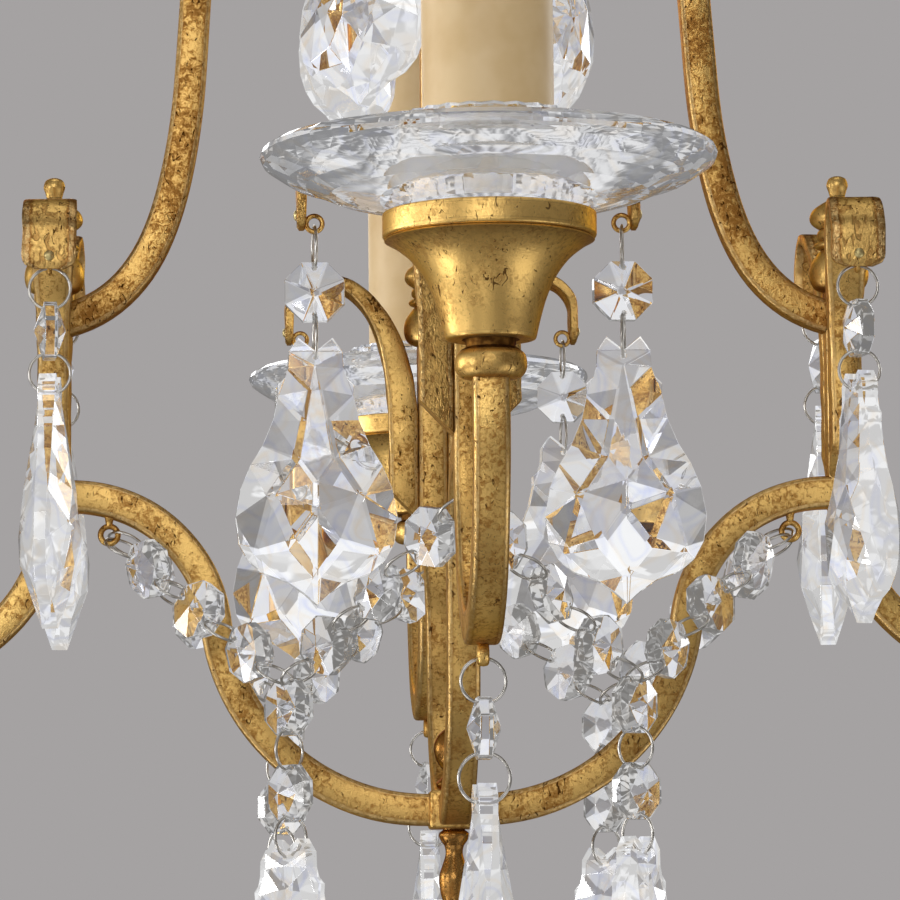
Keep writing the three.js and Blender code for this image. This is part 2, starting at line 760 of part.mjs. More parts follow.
arms.forEach(({ name, degrees, minus, plus, swag }) => {
  const arm = new THREE.Group();
  arm.rotation.z = THREE.MathUtils.degToRad(degrees);
  const drop = { reach: crookEyelet.reach, height: crookEyelet.height - crookEyeletRadius };
  arm.add(
    piece(`post_arm_${name}`, shapes.postArm, gilt),
    piece(`post_finial_${name}`, shapes.postFinial, gilt, postRadius),
    piece(`upper_bar_${name}`, shapes.upperBar, gilt),
    piece(`lower_bar_${name}`, shapes.lowerBar, gilt),
    piece(`candle_cup_${name}`, shapes.cup, gilt),
    piece(`bobeche_${name}`, shapes.bobeche, crystal),
    piece(`candle_sleeve_${name}`, shapes.sleeve, card),
    piece(`lamp_holder_${name}`, shapes.lampHolder, porcelain),
    piece(`crook_drop_${name}_${minus}`, crookString, crystal, postRadius, -drop.reach, drop.height),
    piece(`crook_drop_${name}_${plus}`, crookString, crystal, postRadius, drop.reach, drop.height),
    piece(`arm_drop_${name}`, armString, crystal, armEyelet.radius, 0, armEyelet.height - eyeletRadius),
    swagMesh(`lower_swag_${swag}`, lowerEyelet(), lowerSlackShare, crystalString([ringRadius, ringRadius])),
    swagMesh(`upper_swag_${swag}`, upperEyelet(), upperSlackShare, crystalString([ringRadius])),
  );
  chandelier.add(arm);
});

chandelier.add(
  piece('bottom_hub', bottomHub(), gilt),
  piece('hub_finial', hubFinial(), gilt),
  piece('bottom_finial', bottomFinial(), gilt),
  piece('top_hub', topHub(), gilt),
  piece('hanging_loop', hangingLoop(), brass),
  piece('bottom_drop', armString, crystal, 0, 0, bottomEyeletHeight - eyeletRadius),
);

export default chandelier;
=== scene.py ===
# Four-light cage chandelier in gilded iron, hung with cut crystal.
# Pieces are shaped in millimetres round the bottom hub's centre and then set down in the frame.

from contextlib import contextmanager
from math import asin, atan2, cos, hypot, pi, radians, sin, sqrt

import bmesh
import bpy
from mathutils import Matrix, Vector, noise
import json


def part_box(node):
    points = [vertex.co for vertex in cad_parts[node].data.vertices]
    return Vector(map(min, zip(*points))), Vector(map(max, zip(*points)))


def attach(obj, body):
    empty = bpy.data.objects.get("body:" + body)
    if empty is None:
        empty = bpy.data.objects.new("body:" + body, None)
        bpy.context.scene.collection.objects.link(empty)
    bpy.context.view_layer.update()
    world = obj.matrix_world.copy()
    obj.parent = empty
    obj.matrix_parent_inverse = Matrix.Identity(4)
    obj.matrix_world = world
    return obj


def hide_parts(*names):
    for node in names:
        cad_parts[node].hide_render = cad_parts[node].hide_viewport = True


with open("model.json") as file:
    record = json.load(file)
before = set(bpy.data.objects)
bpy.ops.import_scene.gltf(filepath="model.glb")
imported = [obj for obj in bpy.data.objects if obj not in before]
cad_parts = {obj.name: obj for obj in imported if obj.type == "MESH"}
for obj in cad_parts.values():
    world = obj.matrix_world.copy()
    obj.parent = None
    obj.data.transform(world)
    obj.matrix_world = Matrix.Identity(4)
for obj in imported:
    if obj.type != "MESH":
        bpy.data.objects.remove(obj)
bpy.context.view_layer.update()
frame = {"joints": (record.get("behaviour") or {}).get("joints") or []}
scene = bpy.context.scene
bpy.ops.object.select_all(action="DESELECT")

# Camera
# A long lens a little below the arms, looking up past the front candle at the cage.
# It stands slightly to the left, so that the rear candle shows to the left of the front one.
MM = 0.001
hub_low, hub_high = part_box("bottom_hub")
HUB_HEIGHT = (hub_low[2] + hub_high[2]) / 2
LENS = 196.0
CAMERA_DISTANCE = 1245.0
CAMERA_AZIMUTH = -2.75
CAMERA_PITCH = 6.5
CAMERA_ROLL = -0.6
EYE_LEVEL = -50.0

camera_data = bpy.data.cameras.new("camera")
camera_data.lens = LENS
camera_data.sensor_width = 36.0
camera_data.clip_start = 0.05
camera_data.clip_end = 300.0
camera = bpy.data.objects.new("camera", camera_data)
camera.location = (
    CAMERA_DISTANCE * MM * sin(radians(CAMERA_AZIMUTH)),
    -CAMERA_DISTANCE * MM * cos(radians(CAMERA_AZIMUTH)),
    HUB_HEIGHT + EYE_LEVEL * MM,
)
camera.rotation_euler = (
    Matrix.Rotation(radians(CAMERA_AZIMUTH), 3, "Z")
    @ Matrix.Rotation(radians(90 + CAMERA_PITCH), 3, "X")
    @ Matrix.Rotation(radians(CAMERA_ROLL), 3, "Z")
).to_euler()
scene.collection.objects.link(camera)
scene.camera = camera

# Posts and J arms
# Each arm is one length of 8 mm square bar: a post whose foot is bent round into a J.
# The J ends level with the candle cup. The bar is gilded; its rubbed edges carry umber, partly painted shade,
# and a painted highlight.
ARMS = {"front": -90, "right": 0, "rear": 90, "left": 180}
BAR = 8.0
HALF_BAR = BAR / 2
EASED_EDGE = 0.13
POST_RADIUS = 100.8
POST_TOP = 132.0
J_RADIUS = 44.35
J_HEIGHT = 79.5
STEM_TOP = 86.4
CANDLE_RADIUS = POST_RADIUS + 2 * J_RADIUS


class Paint:
    """A shader socket that takes part in sums and feeds other nodes."""

    def __init__(self, tree, socket):
        self.tree = tree
        self.socket = socket

    def through(self, kind, out=0, settings=(), **inputs):
        node = self.tree.nodes.new(f"ShaderNode{kind}")
        for name, value in settings:
            setattr(node, name, value)
        if "Vector" in node.inputs and "Vector" not in inputs and kind.startswith("Tex"):
            inputs["Vector"] = self
        for name, value in inputs.items():
            slot = node.inputs[int(name[1:])] if name[0] == "_" else node.inputs[name.replace("_", " ")]
            self.join(value, slot)
        return Paint(self.tree, node.outputs[out])

    def join(self, value, slot):
        if isinstance(value, Paint):
            self.tree.links.new(value.socket, slot)
        else:
            slot.default_value = value

    def maths(self, operation, first, second=0.0):
        return self.through("Math", settings=[("operation", operation)], _0=first, _1=second)

    def __add__(self, other):
        return self.maths("ADD", self, other)

    __radd__ = __add__

    def __mul__(self, other):
        return self.maths("MULTIPLY", self, other)

    __rmul__ = __mul__

    def __sub__(self, other):
        return self.maths("SUBTRACT", self, other)

    def __rsub__(self, other):
        return self.maths("SUBTRACT", other, self)

    def __or__(self, other):
        return self.maths("MAXIMUM", self, other)

    def __gt__(self, other):
        return self.maths("GREATER_THAN", self, other)

    def ramp(self, low, high, bottom=0.0, top=1.0):
        """Rises smoothly from bottom to top as the value goes from low to high."""
        return self.through(
            "MapRange", settings=[("interpolation_type", "SMOOTHSTEP")],
            _0=self, _1=low, _2=high, _3=bottom, _4=top,
        )

    def noise(self, scale, detail, rough=0.55, distortion=0.0):
        return self.through("TexNoise", Scale=scale, Detail=detail, Roughness=rough, Distortion=distortion)

    def attribute(self, name):
        return self.through("Attribute", out=2, settings=[("attribute_name", name)])

    def mix(self, first, second):
        """The first colour where the value is 0, and the second where it is 1."""
        return self.through("Mix", out=2, settings=[("data_type", "RGBA")], _0=self, _6=first, _7=second)

    def feed(self, shader, name):
        self.tree.links.new(self.socket, shader.inputs[name])


def new_finish(name):
    """A bare material, its shader and its Object coordinates, in metres."""
    finish = bpy.data.materials.new(name)
    finish.use_nodes = True
    tree = finish.node_tree
    place = Paint(tree, tree.nodes.new("ShaderNodeTexCoord").outputs["Object"])
    return finish, tree.nodes["Principled BSDF"], place


def ray_reader(tree):
    """Gives what Light Path knows about a ray, by the name of its output."""
    rays = tree.nodes.new("ShaderNodeLightPath").outputs
    return lambda name: Paint(tree, rays[name])


def srgb(red, green, blue):
    """A colour as it looks on a screen, from 0 to 255, made linear."""
    return tuple(((value / 255 + 0.055) / 1.055) ** 2.4 for value in (red, green, blue)) + (1.0,)


LIGHT_GOLD = srgb(226, 187, 112)
DEEP_GOLD = srgb(190, 141, 70)
UMBER = srgb(134, 88, 40)
DARK_FLECK_AND_SHADE = srgb(74, 42, 16)
CRACK_BROWN = srgb(92, 56, 24)
RUBBED_GOLD_AND_HIGHLIGHT = srgb(244, 214, 150)
EDGE_TINT = srgb(150, 112, 62)
STROKE_SLANT = (0.75, 0.75, 0.0)
STROKE_STRETCH = (1.0, 1.0, 0.45)


def gilded(name, stain, chisel=0.0, rim=0.5, darkened=0.0, satin=0.33):
    """Gold leaf sponged with umber, rubbed bright at the edges with a painted highlight there.
    Umber along the edges is partly painted shade, and painted shade lies in the hollows.
    Darkened mixes umber in all over. Chisel gives the barked faces.
    """
    finish, shader, place = new_finish(name)
    slanted = place.through("Mapping", Vector=place, Rotation=STROKE_SLANT, Scale=STROKE_STRETCH)
    cloud = place.noise(110, 2, 0.6)
    mottle = place.noise(820, 3, 0.66, 0.6)
    grain = place.noise(2300, 2, 0.6)
    fleck = slanted.noise(720, 2, 0.5, 1.8)
    patches = (mottle + cloud * 0.7).ramp(0.78, 1.04) * stain
    flecks = (fleck + cloud * 0.2).ramp(0.745, 0.8)
    edge = place.attribute("wear_highlight_and_shade")
    ragged = (mottle - 0.5) * 0.3
    # Umber along the edges: partly real, partly painted shade for the dark edges.
    patina_and_shade = (edge + ragged * 1.6).ramp(0.72, 1.0)
    rubbed_and_highlight = (edge + ragged).ramp(0.94, 1.06)
    # Painted shade where the marks go below zero: hollow corners, under the cup's band and on the knob.
    painted_shade = (ragged - edge).ramp(0.3, 0.8)
    colour = (cloud * 0.5 + mottle * 0.7 * stain + grain * 0.4).ramp(0.7, 0.95).mix(LIGHT_GOLD, DEEP_GOLD)
    colour = (patches * 0.6).mix(colour, UMBER)
    colour = (patina_and_shade * rim + darkened).mix(colour, UMBER)
    height = mottle * 0.9 * stain + grain * 0.4 - flecks * 1.2
    if chisel:
        commas = slanted.noise(640, 1, 0.5, 0.4).ramp(0.55, 0.63)
        colour = (commas * 0.5).mix(colour, UMBER)
        strokes = slanted.noise(1250, 1, 0.5, 1.1)
        painted_glow = place.noise(900, 1).ramp(0.44, 0.58)
        line = strokes.maths("ABSOLUTE", strokes - 0.5).ramp(0.0, 0.04, 1.0, 0.0)
        cracks = line * painted_glow | strokes.ramp(0.32, 0.38, 1.0, 0.0)
        colour = (cracks * (0.8 * chisel)).mix(colour, CRACK_BROWN)
        height = height + strokes.ramp(0.34, 0.6) * 1.6 * chisel - cracks * 0.8 * chisel - commas * 0.8
    # Rubbed gold on the edges, painted brighter as a highlight.
    colour = (rubbed_and_highlight * 0.6).mix(colour, RUBBED_GOLD_AND_HIGHLIGHT)
    colour = (painted_shade * 0.8).mix(colour, DARK_FLECK_AND_SHADE)
    colour = (flecks * 0.85).mix(colour, DARK_FLECK_AND_SHADE)
    colour.feed(shader, "Base Color")
    (satin + patches * 0.14 - rubbed_and_highlight * 0.06 + flecks * 0.25 + grain * 0.1).feed(shader, "Roughness")
    (0.97 - patches * 0.1 - flecks * 0.1 - painted_shade * 0.15).feed(shader, "Metallic")
    shader.inputs["Specular Tint"].default_value = EDGE_TINT
    bump = place.through("Bump", Height=height, Strength=0.6, Distance=0.0002)
    bump.feed(shader, "Normal")
    return finish


GILT = gilded("gilt", stain=0.9)
TURNED_GILT = gilded("turned gilt", stain=0.6)
# Painted shade: gilt darkened far towards umber for the hub's ball and vase, which hang in shade.
SHADED_GILT = gilded("shaded gilt", stain=0.8, darkened=0.8, satin=0.22)
BROWNED_GILT = gilded("browned gilt", stain=1.1, darkened=0.16)
STAINED_GILT = gilded("stained gilt", stain=0.85, darkened=0.1)
BARKED_GILT = gilded("barked gilt", stain=0.6, chisel=0.7, darkened=0.18)
LOBE_GILT = gilded("dimpled gilt", stain=0.45, chisel=0.12, rim=0.9, darkened=0.06)


def run_line(start, end, steps=1):
    """Points along a straight stretch, without its first."""
    return [Vector(start).lerp(Vector(end), step / steps) for step in range(1, steps + 1)]


def run_arc(centre, radius, start, end, steps):
    """Points along an arc, in degrees, without its first."""
    turns = [radians(start + (end - start) * step / steps) for step in range(1, steps + 1)]
    return [Vector((centre[0] + radius * cos(turn), centre[1] + radius * sin(turn))) for turn in turns]


def run_curve(start, first, second, end, steps):
    """Points along a curve steered by two handles, without its first."""
    points = []
    for step in range(1, steps + 1):
        share = step / steps
        rest = 1 - share
        points.append(
            Vector(start) * rest ** 3 + Vector(first) * 3 * rest ** 2 * share
            + Vector(second) * 3 * rest * share ** 2 + Vector(end) * share ** 3
        )
    return points


def at(x, y, z):
    return Matrix.Translation((x, y, z))


def turned_by(degrees, axis):
    return Matrix.Rotation(radians(degrees), 4, axis)


def alone(piece):
    """Selects a piece and nothing else, and makes it the active one."""
    bpy.ops.object.select_all(action="DESELECT")
    piece.select_set(True)
    bpy.context.view_layer.objects.active = piece


@contextmanager
def reworking():
    """Edit mode on the active piece, with all of it selected."""
    bpy.ops.object.mode_set(mode="EDIT")
    bpy.ops.mesh.select_all(action="SELECT")
    yield
    bpy.ops.object.mode_set(mode="OBJECT")


def coat(piece, *finishes):
    for finish in finishes:
        piece.data.materials.append(finish)


def straight_bar(name, cuts, *finishes):
    """A bar one unit long and square, along X, with eased long edges, marked for rubbed gold with a painted
    highlight and for umber with painted shade.
    """
    bpy.ops.mesh.primitive_cube_add(size=1, location=(0.5, 0, 0))
    bar = bpy.context.object
    bar.name = bar.data.name = name
    bpy.ops.object.transform_apply(location=True)
    bpy.ops.object.mode_set(mode="EDIT")

    def choose(wanted):
        mesh = bmesh.from_edit_mesh(bar.data)
        for edge in mesh.edges:
            edge.select_set(wanted(*edge.verts))
        mesh.select_flush_mode()
        bmesh.update_edit_mesh(bar.data)

    bpy.ops.mesh.select_mode(type="EDGE")
    choose(lambda one, other: abs(one.co.x - other.co.x) > 0.5)
    bpy.ops.mesh.subdivide(number_cuts=cuts)
    choose(lambda one, other: abs(one.co.x - other.co.x) < 0.1 / cuts)
    bpy.ops.mesh.subdivide(number_cuts=1)
    choose(lambda one, other: all(abs(abs(v.co.y * v.co.z) - 0.25) < 0.01 for v in (one, other))
           and abs(one.co.x - other.co.x) > 0.1 / cuts)
    bpy.ops.mesh.bevel(offset=EASED_EDGE, segments=3, affect="EDGES")
    bpy.ops.object.mode_set(mode="OBJECT")
    marks = bar.data.attributes.new("wear_highlight_and_shade", "FLOAT", "POINT")
    for vertex, mark in zip(bar.data.vertices, marks.data):
        mark.value = 0.0 if min(abs(vertex.co.y), abs(vertex.co.z)) < 0.01 else 1.0
    coat(bar, *finishes)
    return bar


def bend(bar, path, section, foot_slope=0.0):
    """Bends a straight bar along a flat path of radius and height, and draws it out to its section."""
    reach = [0.0]
    for before, after in zip(path, path[1:]):
        reach.append(reach[-1] + (after - before).length)
    total = reach[-1]
    last = len(path) - 1
    headings = [
        (path[min(order + 1, last)] - path[max(order - 1, 0)]).normalized() for order in range(last + 1)]
    order = 0
    for vertex in sorted(bar.data.vertices, key=lambda v: v.co.x):
        along = vertex.co.x * total
        while order < last - 1 and reach[order + 1] < along:
            order += 1
        share = (along - reach[order]) / (reach[order + 1] - reach[order])
        point = path[order].lerp(path[order + 1], share)
        heading = headings[order].lerp(headings[order + 1], share).normalized()
        width, thickness = section(along, total)
        out = vertex.co.z * thickness
        slide = foot_slope * out * max(0.0, 1 - along / BAR)
        vertex.co = (
            point.x - heading.y * out + heading.x * slide,
            vertex.co.y * width,
            point.y + heading.x * out + heading.y * slide,
        )
    with reworking():
        bpy.ops.mesh.normals_make_consistent(inside=False)
    return bar


HAND_SEED = 5
noise.seed_set(HAND_SEED)


def hand_made(piece, amount=0.16, grain=0.055):
    """Moves the surface in and out a little, as hammered iron and thick paint do."""
    for vertex in piece.data.vertices:
        vertex.co += noise.noise_vector(vertex.co * grain) * amount


def square(along, total):
    return BAR, BAR


def smooth(piece, degrees=40):
    alone(piece)
    bpy.ops.object.shade_smooth_by_angle(angle=radians(degrees))


def join(name, parts):
    """Joins pieces into one and gives it a name."""
    whole = parts[0]
    alone(whole)
    for part in parts:
        part.select_set(True)
    bpy.ops.object.join()
    whole.name = whole.data.name = name
    return whole


def set_down(piece, turn=0.0):
    """Puts a piece from millimetres round the hub into the frame, turned about the axis."""
    piece.data.transform(at(0, 0, HUB_HEIGHT) @ Matrix.Scale(MM, 4) @ turned_by(turn, "Z"))
    piece.data.update()


def twin(piece, name):
    """A copy of a piece with its own mesh."""
    other = piece.copy()
    other.data = piece.data.copy()
    other.name = other.data.name = name
    scene.collection.objects.link(other)
    return other


def fit(piece, slot, body, *nodes):
    """Hangs a finished piece on what it moves with and hides the CAD nodes it stands for. The slot is not
    used.
    """
    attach(piece, body)
    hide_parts(*nodes)


def fit_to_arms(pattern, kind, reach=0.0, slot="gilt_iron"):
    """Sets four copies of a piece down, one to each arm, in place of the CAD nodes of that kind."""
    pattern.data.transform(at(reach, 0, 0))
    for arm, turn in ARMS.items():
        piece = twin(pattern, f"{kind}_{arm}_gilt" if slot == "gilt_iron" else f"{kind}_{arm}_finished")
        set_down(piece, turn)
        fit(piece, slot, "frame", f"{kind}_{arm}")
    bpy.data.objects.remove(pattern)


j_path = [Vector((POST_RADIUS, POST_TOP))]
j_path += run_line(j_path[-1], (POST_RADIUS, J_HEIGHT), 8)
j_path += run_arc((POST_RADIUS + J_RADIUS, J_HEIGHT), J_RADIUS, 180, 360, 48)
j_path += run_line(j_path[-1], (CANDLE_RADIUS, STEM_TOP), 3)
j_bar = bend(straight_bar("j_bar", 110, GILT), j_path, square)
hand_made(j_bar)
smooth(j_bar)

# Crooks
# A pair of hooks is forged from the same bar and welded to the sides of each post.
# Their outer faces are barked with a chisel, and the lobe of each takes a pin and a wire eyelet.
CROOK_FOOT = 84.0
CROOK_LEG_TOP = 108.0
CROOK_APEX = 150.5
CROOK_APEX_REACH = 30.5
CROOK_REACH = 39.4
CROOK_TIP_START = 141.5
CROOK_TIP = 133.0
LOBE_WIDTH = 13.5
LOBE_THICKNESS = 2.3
LOBE_CORNER = 3.2
EYELET_RADIUS = 1.9
EYELET_WIRE = 1.15
EYELET_RISE = 1.2
PIN_HEIGHT = 136.2
PIN_RADIUS = 1.3
PIN_DOME = 0.55
DRAWN_FROM = 26.0
LOBE_LENGTH = 12.0
LOBE_FROM = 36.0


def crook_section(along, total):
    """Square at the post, drawn wide and thin towards the tip, whose corners are rounded."""
    drawn = min(max((along - DRAWN_FROM) / (total - DRAWN_FROM - LOBE_LENGTH), 0.0), 1.0)
    drawn = drawn * drawn * (3 - 2 * drawn)
    width = BAR + (LOBE_WIDTH - BAR) * drawn
    thickness = BAR + (LOBE_THICKNESS - BAR) * drawn
    left = total - along
    if left < LOBE_CORNER:
        width -= 2 * (LOBE_CORNER - sqrt(max(LOBE_CORNER ** 2 - (LOBE_CORNER - left) ** 2, 0.0)))
    if left < LOBE_THICKNESS / 2:
        thickness *= 0.5 + left / LOBE_THICKNESS
    return width, thickness


def wire_ring(name, radius, wire, finish, around=28, about=8):
    """A ring of round wire in the plane of X and Z."""
    bpy.ops.mesh.primitive_torus_add(
        major_radius=radius, minor_radius=wire / 2, major_segments=around, minor_segments=about,
        rotation=(pi / 2, 0, 0),
    )
    ring = bpy.context.object
    bpy.ops.object.transform_apply(rotation=True)
    ring.name = name
    bpy.ops.object.shade_smooth()
    coat(ring, finish)
    return ring


def crook(side):
    """One crook with its pin and eyelet, in the plane that crosses the arm, side 1 or -1."""
    path = [Vector((BAR, CROOK_FOOT + HALF_BAR))]
    path += run_line(path[-1], (BAR, CROOK_LEG_TOP), 6)
    path += run_curve(
        path[-1], (BAR, 134.4), (17.0, CROOK_APEX), (CROOK_APEX_REACH, CROOK_APEX), 24,
    )
    path += run_curve(
        path[-1], (35.4, CROOK_APEX), (CROOK_REACH, 146.4), (CROOK_REACH, CROOK_TIP_START), 14,
    )
    path += run_line(path[-1], (CROOK_REACH, CROOK_TIP), 14)
    bar = straight_bar("crook", 90, GILT, BARKED_GILT, LOBE_GILT)
    bend(bar, path, crook_section, foot_slope=-1.0)
    hand_made(bar, amount=0.3, grain=0.16)
    for face in bar.data.polygons:
        outwards = face.normal.y * side < -0.6
        lobe_front = face.normal.x > 0.5 and face.center.x > LOBE_FROM
        face.material_index = 2 if lobe_front or face.normal.z > 0.55 else 1 if outwards else 0
    smooth(bar, 50)
    inner = CROOK_REACH - LOBE_THICKNESS / 2
    eyelet = wire_ring("crook_eyelet", EYELET_RADIUS, EYELET_WIRE, GILT, 24)
    eyelet.data.transform(at(inner - EYELET_RADIUS, 0, CROOK_TIP + EYELET_RISE))
    bpy.ops.mesh.primitive_uv_sphere_add(segments=20, ring_count=10, radius=PIN_RADIUS)
    pin = bpy.context.object
    bpy.ops.object.shade_smooth()
    pin.data.transform(Matrix.Diagonal((PIN_DOME, 1, 1, 1)))
    pin.data.transform(at(CROOK_REACH + LOBE_THICKNESS / 2, 0, PIN_HEIGHT))
    coat(pin, PIN_FINISH)
    whole = join("crook", [bar, eyelet, pin])
    whole.data.transform(turned_by(90 * side, "Z"))
    whole.data.transform(at(POST_RADIUS, 0, 0))
    return whole


def worn_brass(name, colour, roughness):
    """Bare brass or a pale wash over it, with a little tarnish."""
    finish, shader, place = new_finish(name)
    tarnish = place.noise(700, 3)
    (tarnish.ramp(0.4, 0.7) * 0.5).mix(colour, UMBER).feed(shader, "Base Color")
    (tarnish * 0.2 + roughness).feed(shader, "Roughness")
    shader.inputs["Metallic"].default_value = 0.85
    return finish


PIN_FINISH = worn_brass("pin brass", srgb(206, 190, 134), 0.32)
ARM_EYELET_RADIUS = 2.2
ARM_EYELET_WIDTH = 2.2
ARM_EYELET_WIRE = 1.2
arm_eyelet = wire_ring("arm_eyelet", ARM_EYELET_RADIUS, ARM_EYELET_WIRE, GILT)
arm_eyelet.data.transform(Matrix.Diagonal((1, ARM_EYELET_WIDTH, 1, 1)))
arm_eyelet.data.transform(
    at(POST_RADIUS + J_RADIUS, 0, J_HEIGHT - J_RADIUS - HALF_BAR - ARM_EYELET_RADIUS + 0.1))
fit_to_arms(join("post_arm", [j_bar, arm_eyelet, crook(1), crook(-1)]), "post_arm")

# Finials of the posts
# Cast brass turnings on a stud in the top of each post: bulb, collar, bead, onion and a small ball.
# They are gilded with the posts, and shade is painted dark into the grooves.


def eased(points, steps=5):
    """Points of a profile run, with a smooth curve laid through them."""
    points = [Vector(point) for point in points]
    ends = [points[0] * 2 - points[1]] + points + [points[-1] * 2 - points[-2]]
    run = [points[0]]
    for a, b, c, d in zip(ends, ends[1:], ends[2:], ends[3:]):
        for step in range(1, steps + 1):
            t = step / steps
            run.append((b * 2 + (c - a) * t + (a * 2 - b * 5 + c * 4 - d) * t * t
                        + (b * 3 - a - c * 3 + d) * t ** 3) / 2)
    return [Vector((max(point.x, 0.0), point.y)) for point in run]


CORNER_BAND = 0.7


def laid_out(name, places, edges, faces):
    """A new piece of these points, edges and faces, ready to be worked on."""
    mesh = bpy.data.meshes.new(name)
    mesh.from_pydata(places, edges, faces)
    piece = bpy.data.objects.new(name, mesh)
    scene.collection.objects.link(piece)
    alone(piece)
    return piece


def turn(name, runs, finish, sides=64, base=0.0, degrees=35, closed=False):
    """Turns a profile on a lathe, from its base up. Its runs meet at corners: bulging ones are rubbed, and
    hollow ones take painted shade.
    """
    profile = []
    corners = []
    for run in runs:
        points = [Vector((radius, height + base)) for radius, height in run]
        if profile and (points[0] - profile[-1]).length < 0.001:
            corners.append(len(profile) - 1)
            points = points[1:]
        profile += points
    loop_area = sum(a.cross(b) for a, b in zip(profile, profile[1:] + profile[:1]))
    banded = []
    for order in reversed(range(len(profile))):
        point = profile[order]
        if order not in corners:
            banded.append((point, 0.0))
            continue
        into = point - profile[order - 1]
        onward = banded[-1][0] - point
        # Bulging corners are marked like rubbed edges; hollow ones are marked for painted shade.
        bulges = into.normalized().cross(onward.normalized()) * loop_area > 0
        banded += [
            (point + onward * min(0.5, CORNER_BAND / onward.length), 0.0), (point, 1.0 if bulges else -1.0),
            (point - into * min(0.5, CORNER_BAND / into.length), 0.0),
        ]
    banded.reverse()
    edges = [(order - 1, order) for order in range(1, len(banded))]
    if closed:
        edges.append((len(banded) - 1, 0))
    piece = laid_out(name, [(point.x, 0, point.y) for point, mark in banded], edges, [])
    marks = piece.data.attributes.new("wear_highlight_and_shade", "FLOAT", "POINT")
    for vertex_mark, (point, mark) in zip(marks.data, banded):
        vertex_mark.value = mark
    with reworking():
        bpy.ops.mesh.spin(steps=sides, angle=2 * pi, center=(0, 0, 0), axis=(0, 0, 1))
        bpy.ops.mesh.select_all(action="SELECT")
        bpy.ops.mesh.remove_doubles(threshold=0.0005)
        bpy.ops.mesh.normals_make_consistent(inside=False)
    coat(piece, finish)
    smooth(piece, degrees)
    return piece


FINIAL_BASE = POST_TOP + 0.3
finial = turn("post_finial", [
    [(0, 0), (4.4, 0)],
    eased([(4.4, 0), (6.6, 1.1), (7.6, 3.7), (7.3, 6.8), (5.6, 9.6), (4.4, 10.9)]),
    eased([(4.4, 10.9), (6.0, 11.5), (6.2, 12.2), (5.4, 12.9), (4.4, 13.1)], 3),
    eased([(4.4, 13.1), (5.4, 14.2), (5.3, 15.5), (4.7, 16.2)], 3),
    eased([(4.7, 16.2), (6.7, 17.6), (7.3, 19.2), (6.5, 21.2), (4.2, 22.9), (2.5, 23.9), (1.95, 24.9)]),
    eased([(1.95, 24.9), (2.3, 26.2), (2.75, 27.7), (2.3, 29.3), (1.2, 30), (0, 30.2)]),
], TURNED_GILT, 48, FINIAL_BASE)
fit_to_arms(finial, "post_finial", POST_RADIUS)

# Upper bars
# Four ogee bars of the same section rise from the posts to the top hub and make the cage.
# Each is bent over a former, welded at both ends and pierced for the eyelet of the upper swags.
UPPER_FOOT = (POST_RADIUS - HALF_BAR + 1.0, 125.6)
UPPER_WAIST = (65.0, 200.0)
UPPER_SHOULDER = (54.0, 300.0)
UPPER_END = (9.0, 352.0)
FOOT_LEAN = 15.0
WAIST_LEAN = 86.5
SHOULDER_LEAN = 77.0


def steered(point, lean, distance):
    return (point[0] - distance * cos(radians(lean)), point[1] + distance * sin(radians(lean)))


def stretch(start, lean, handle, end, end_lean, end_handle, steps):
    """A curve that leaves and arrives at the given leans from level, with handles as shares of its span."""
    span = hypot(end[0] - start[0], end[1] - start[1])
    return run_curve(
        start, steered(start, lean, span * handle), steered(end, end_lean, -span * end_handle), end, steps,
    )


upper_path = [Vector(UPPER_FOOT)]
upper_path += stretch(UPPER_FOOT, FOOT_LEAN, 0.3, UPPER_WAIST, WAIST_LEAN, 0.52, 40)
upper_path += stretch(UPPER_WAIST, WAIST_LEAN, 0.33, UPPER_SHOULDER, SHOULDER_LEAN, 0.33, 16)
upper_path += stretch(UPPER_SHOULDER, SHOULDER_LEAN, 0.5, UPPER_END, 0, 0.42, 30)
upper_bar = bend(straight_bar("upper_bar", 150, BROWNED_GILT), upper_path, square)
hand_made(upper_bar)
smooth(upper_bar)
SWAG_EYELET_RADIUS = 2.2
SWAG_EYELET_WIRE = 1.5
UPPER_EYELET_REACH = 48.6
UPPER_EYELET_HEIGHT = 296.0
upper_eyelet = wire_ring("upper_eyelet", SWAG_EYELET_RADIUS, SWAG_EYELET_WIRE, GILT)
upper_eyelet.data.transform(at(UPPER_EYELET_REACH, 0, UPPER_EYELET_HEIGHT))
fit_to_arms(join("upper_bar", [upper_bar, upper_eyelet]), "upper_bar")

# Lower bars
# Four bars curve from the posts down to the hub under the cage, in two arcs that meet smoothly.
# A wire eyelet hangs on a short stem near the top of each, for the ends of two lower swags.
LOWER_TOP = 80.3
LOWER_BEND = 36.8
LOWER_START = POST_RADIUS - HALF_BAR + 1.0
LOWER_END = 5.0
SEATED_START = POST_RADIUS - HALF_BAR - 0.3
SEATED_END = 6.65
across = SEATED_START - SEATED_END
hub_bend = (across ** 2 + LOWER_TOP ** 2) / (2 * LOWER_TOP) - LOWER_BEND
lean = atan2(hub_bend - (LOWER_TOP - LOWER_BEND), across) * 180 / pi
lower_path = [Vector((LOWER_START, LOWER_TOP)), Vector((SEATED_START, LOWER_TOP))]
lower_path += run_arc((SEATED_START, LOWER_TOP - LOWER_BEND), LOWER_BEND, 90, 180 - lean, 26)
lower_path += run_arc((SEATED_END, hub_bend), hub_bend, -lean, -90, 30)
lower_path += run_line(lower_path[-1], (LOWER_END, lower_path[-1].y))
lower_bar = bend(straight_bar("lower_bar", 100, STAINED_GILT), lower_path, square)
hand_made(lower_bar)
smooth(lower_bar)
LOWER_EYELET_INSET = 9.5
LOWER_EYELET_STEM = 2.2
bar_rise = sqrt(LOWER_BEND ** 2 - LOWER_EYELET_INSET ** 2)
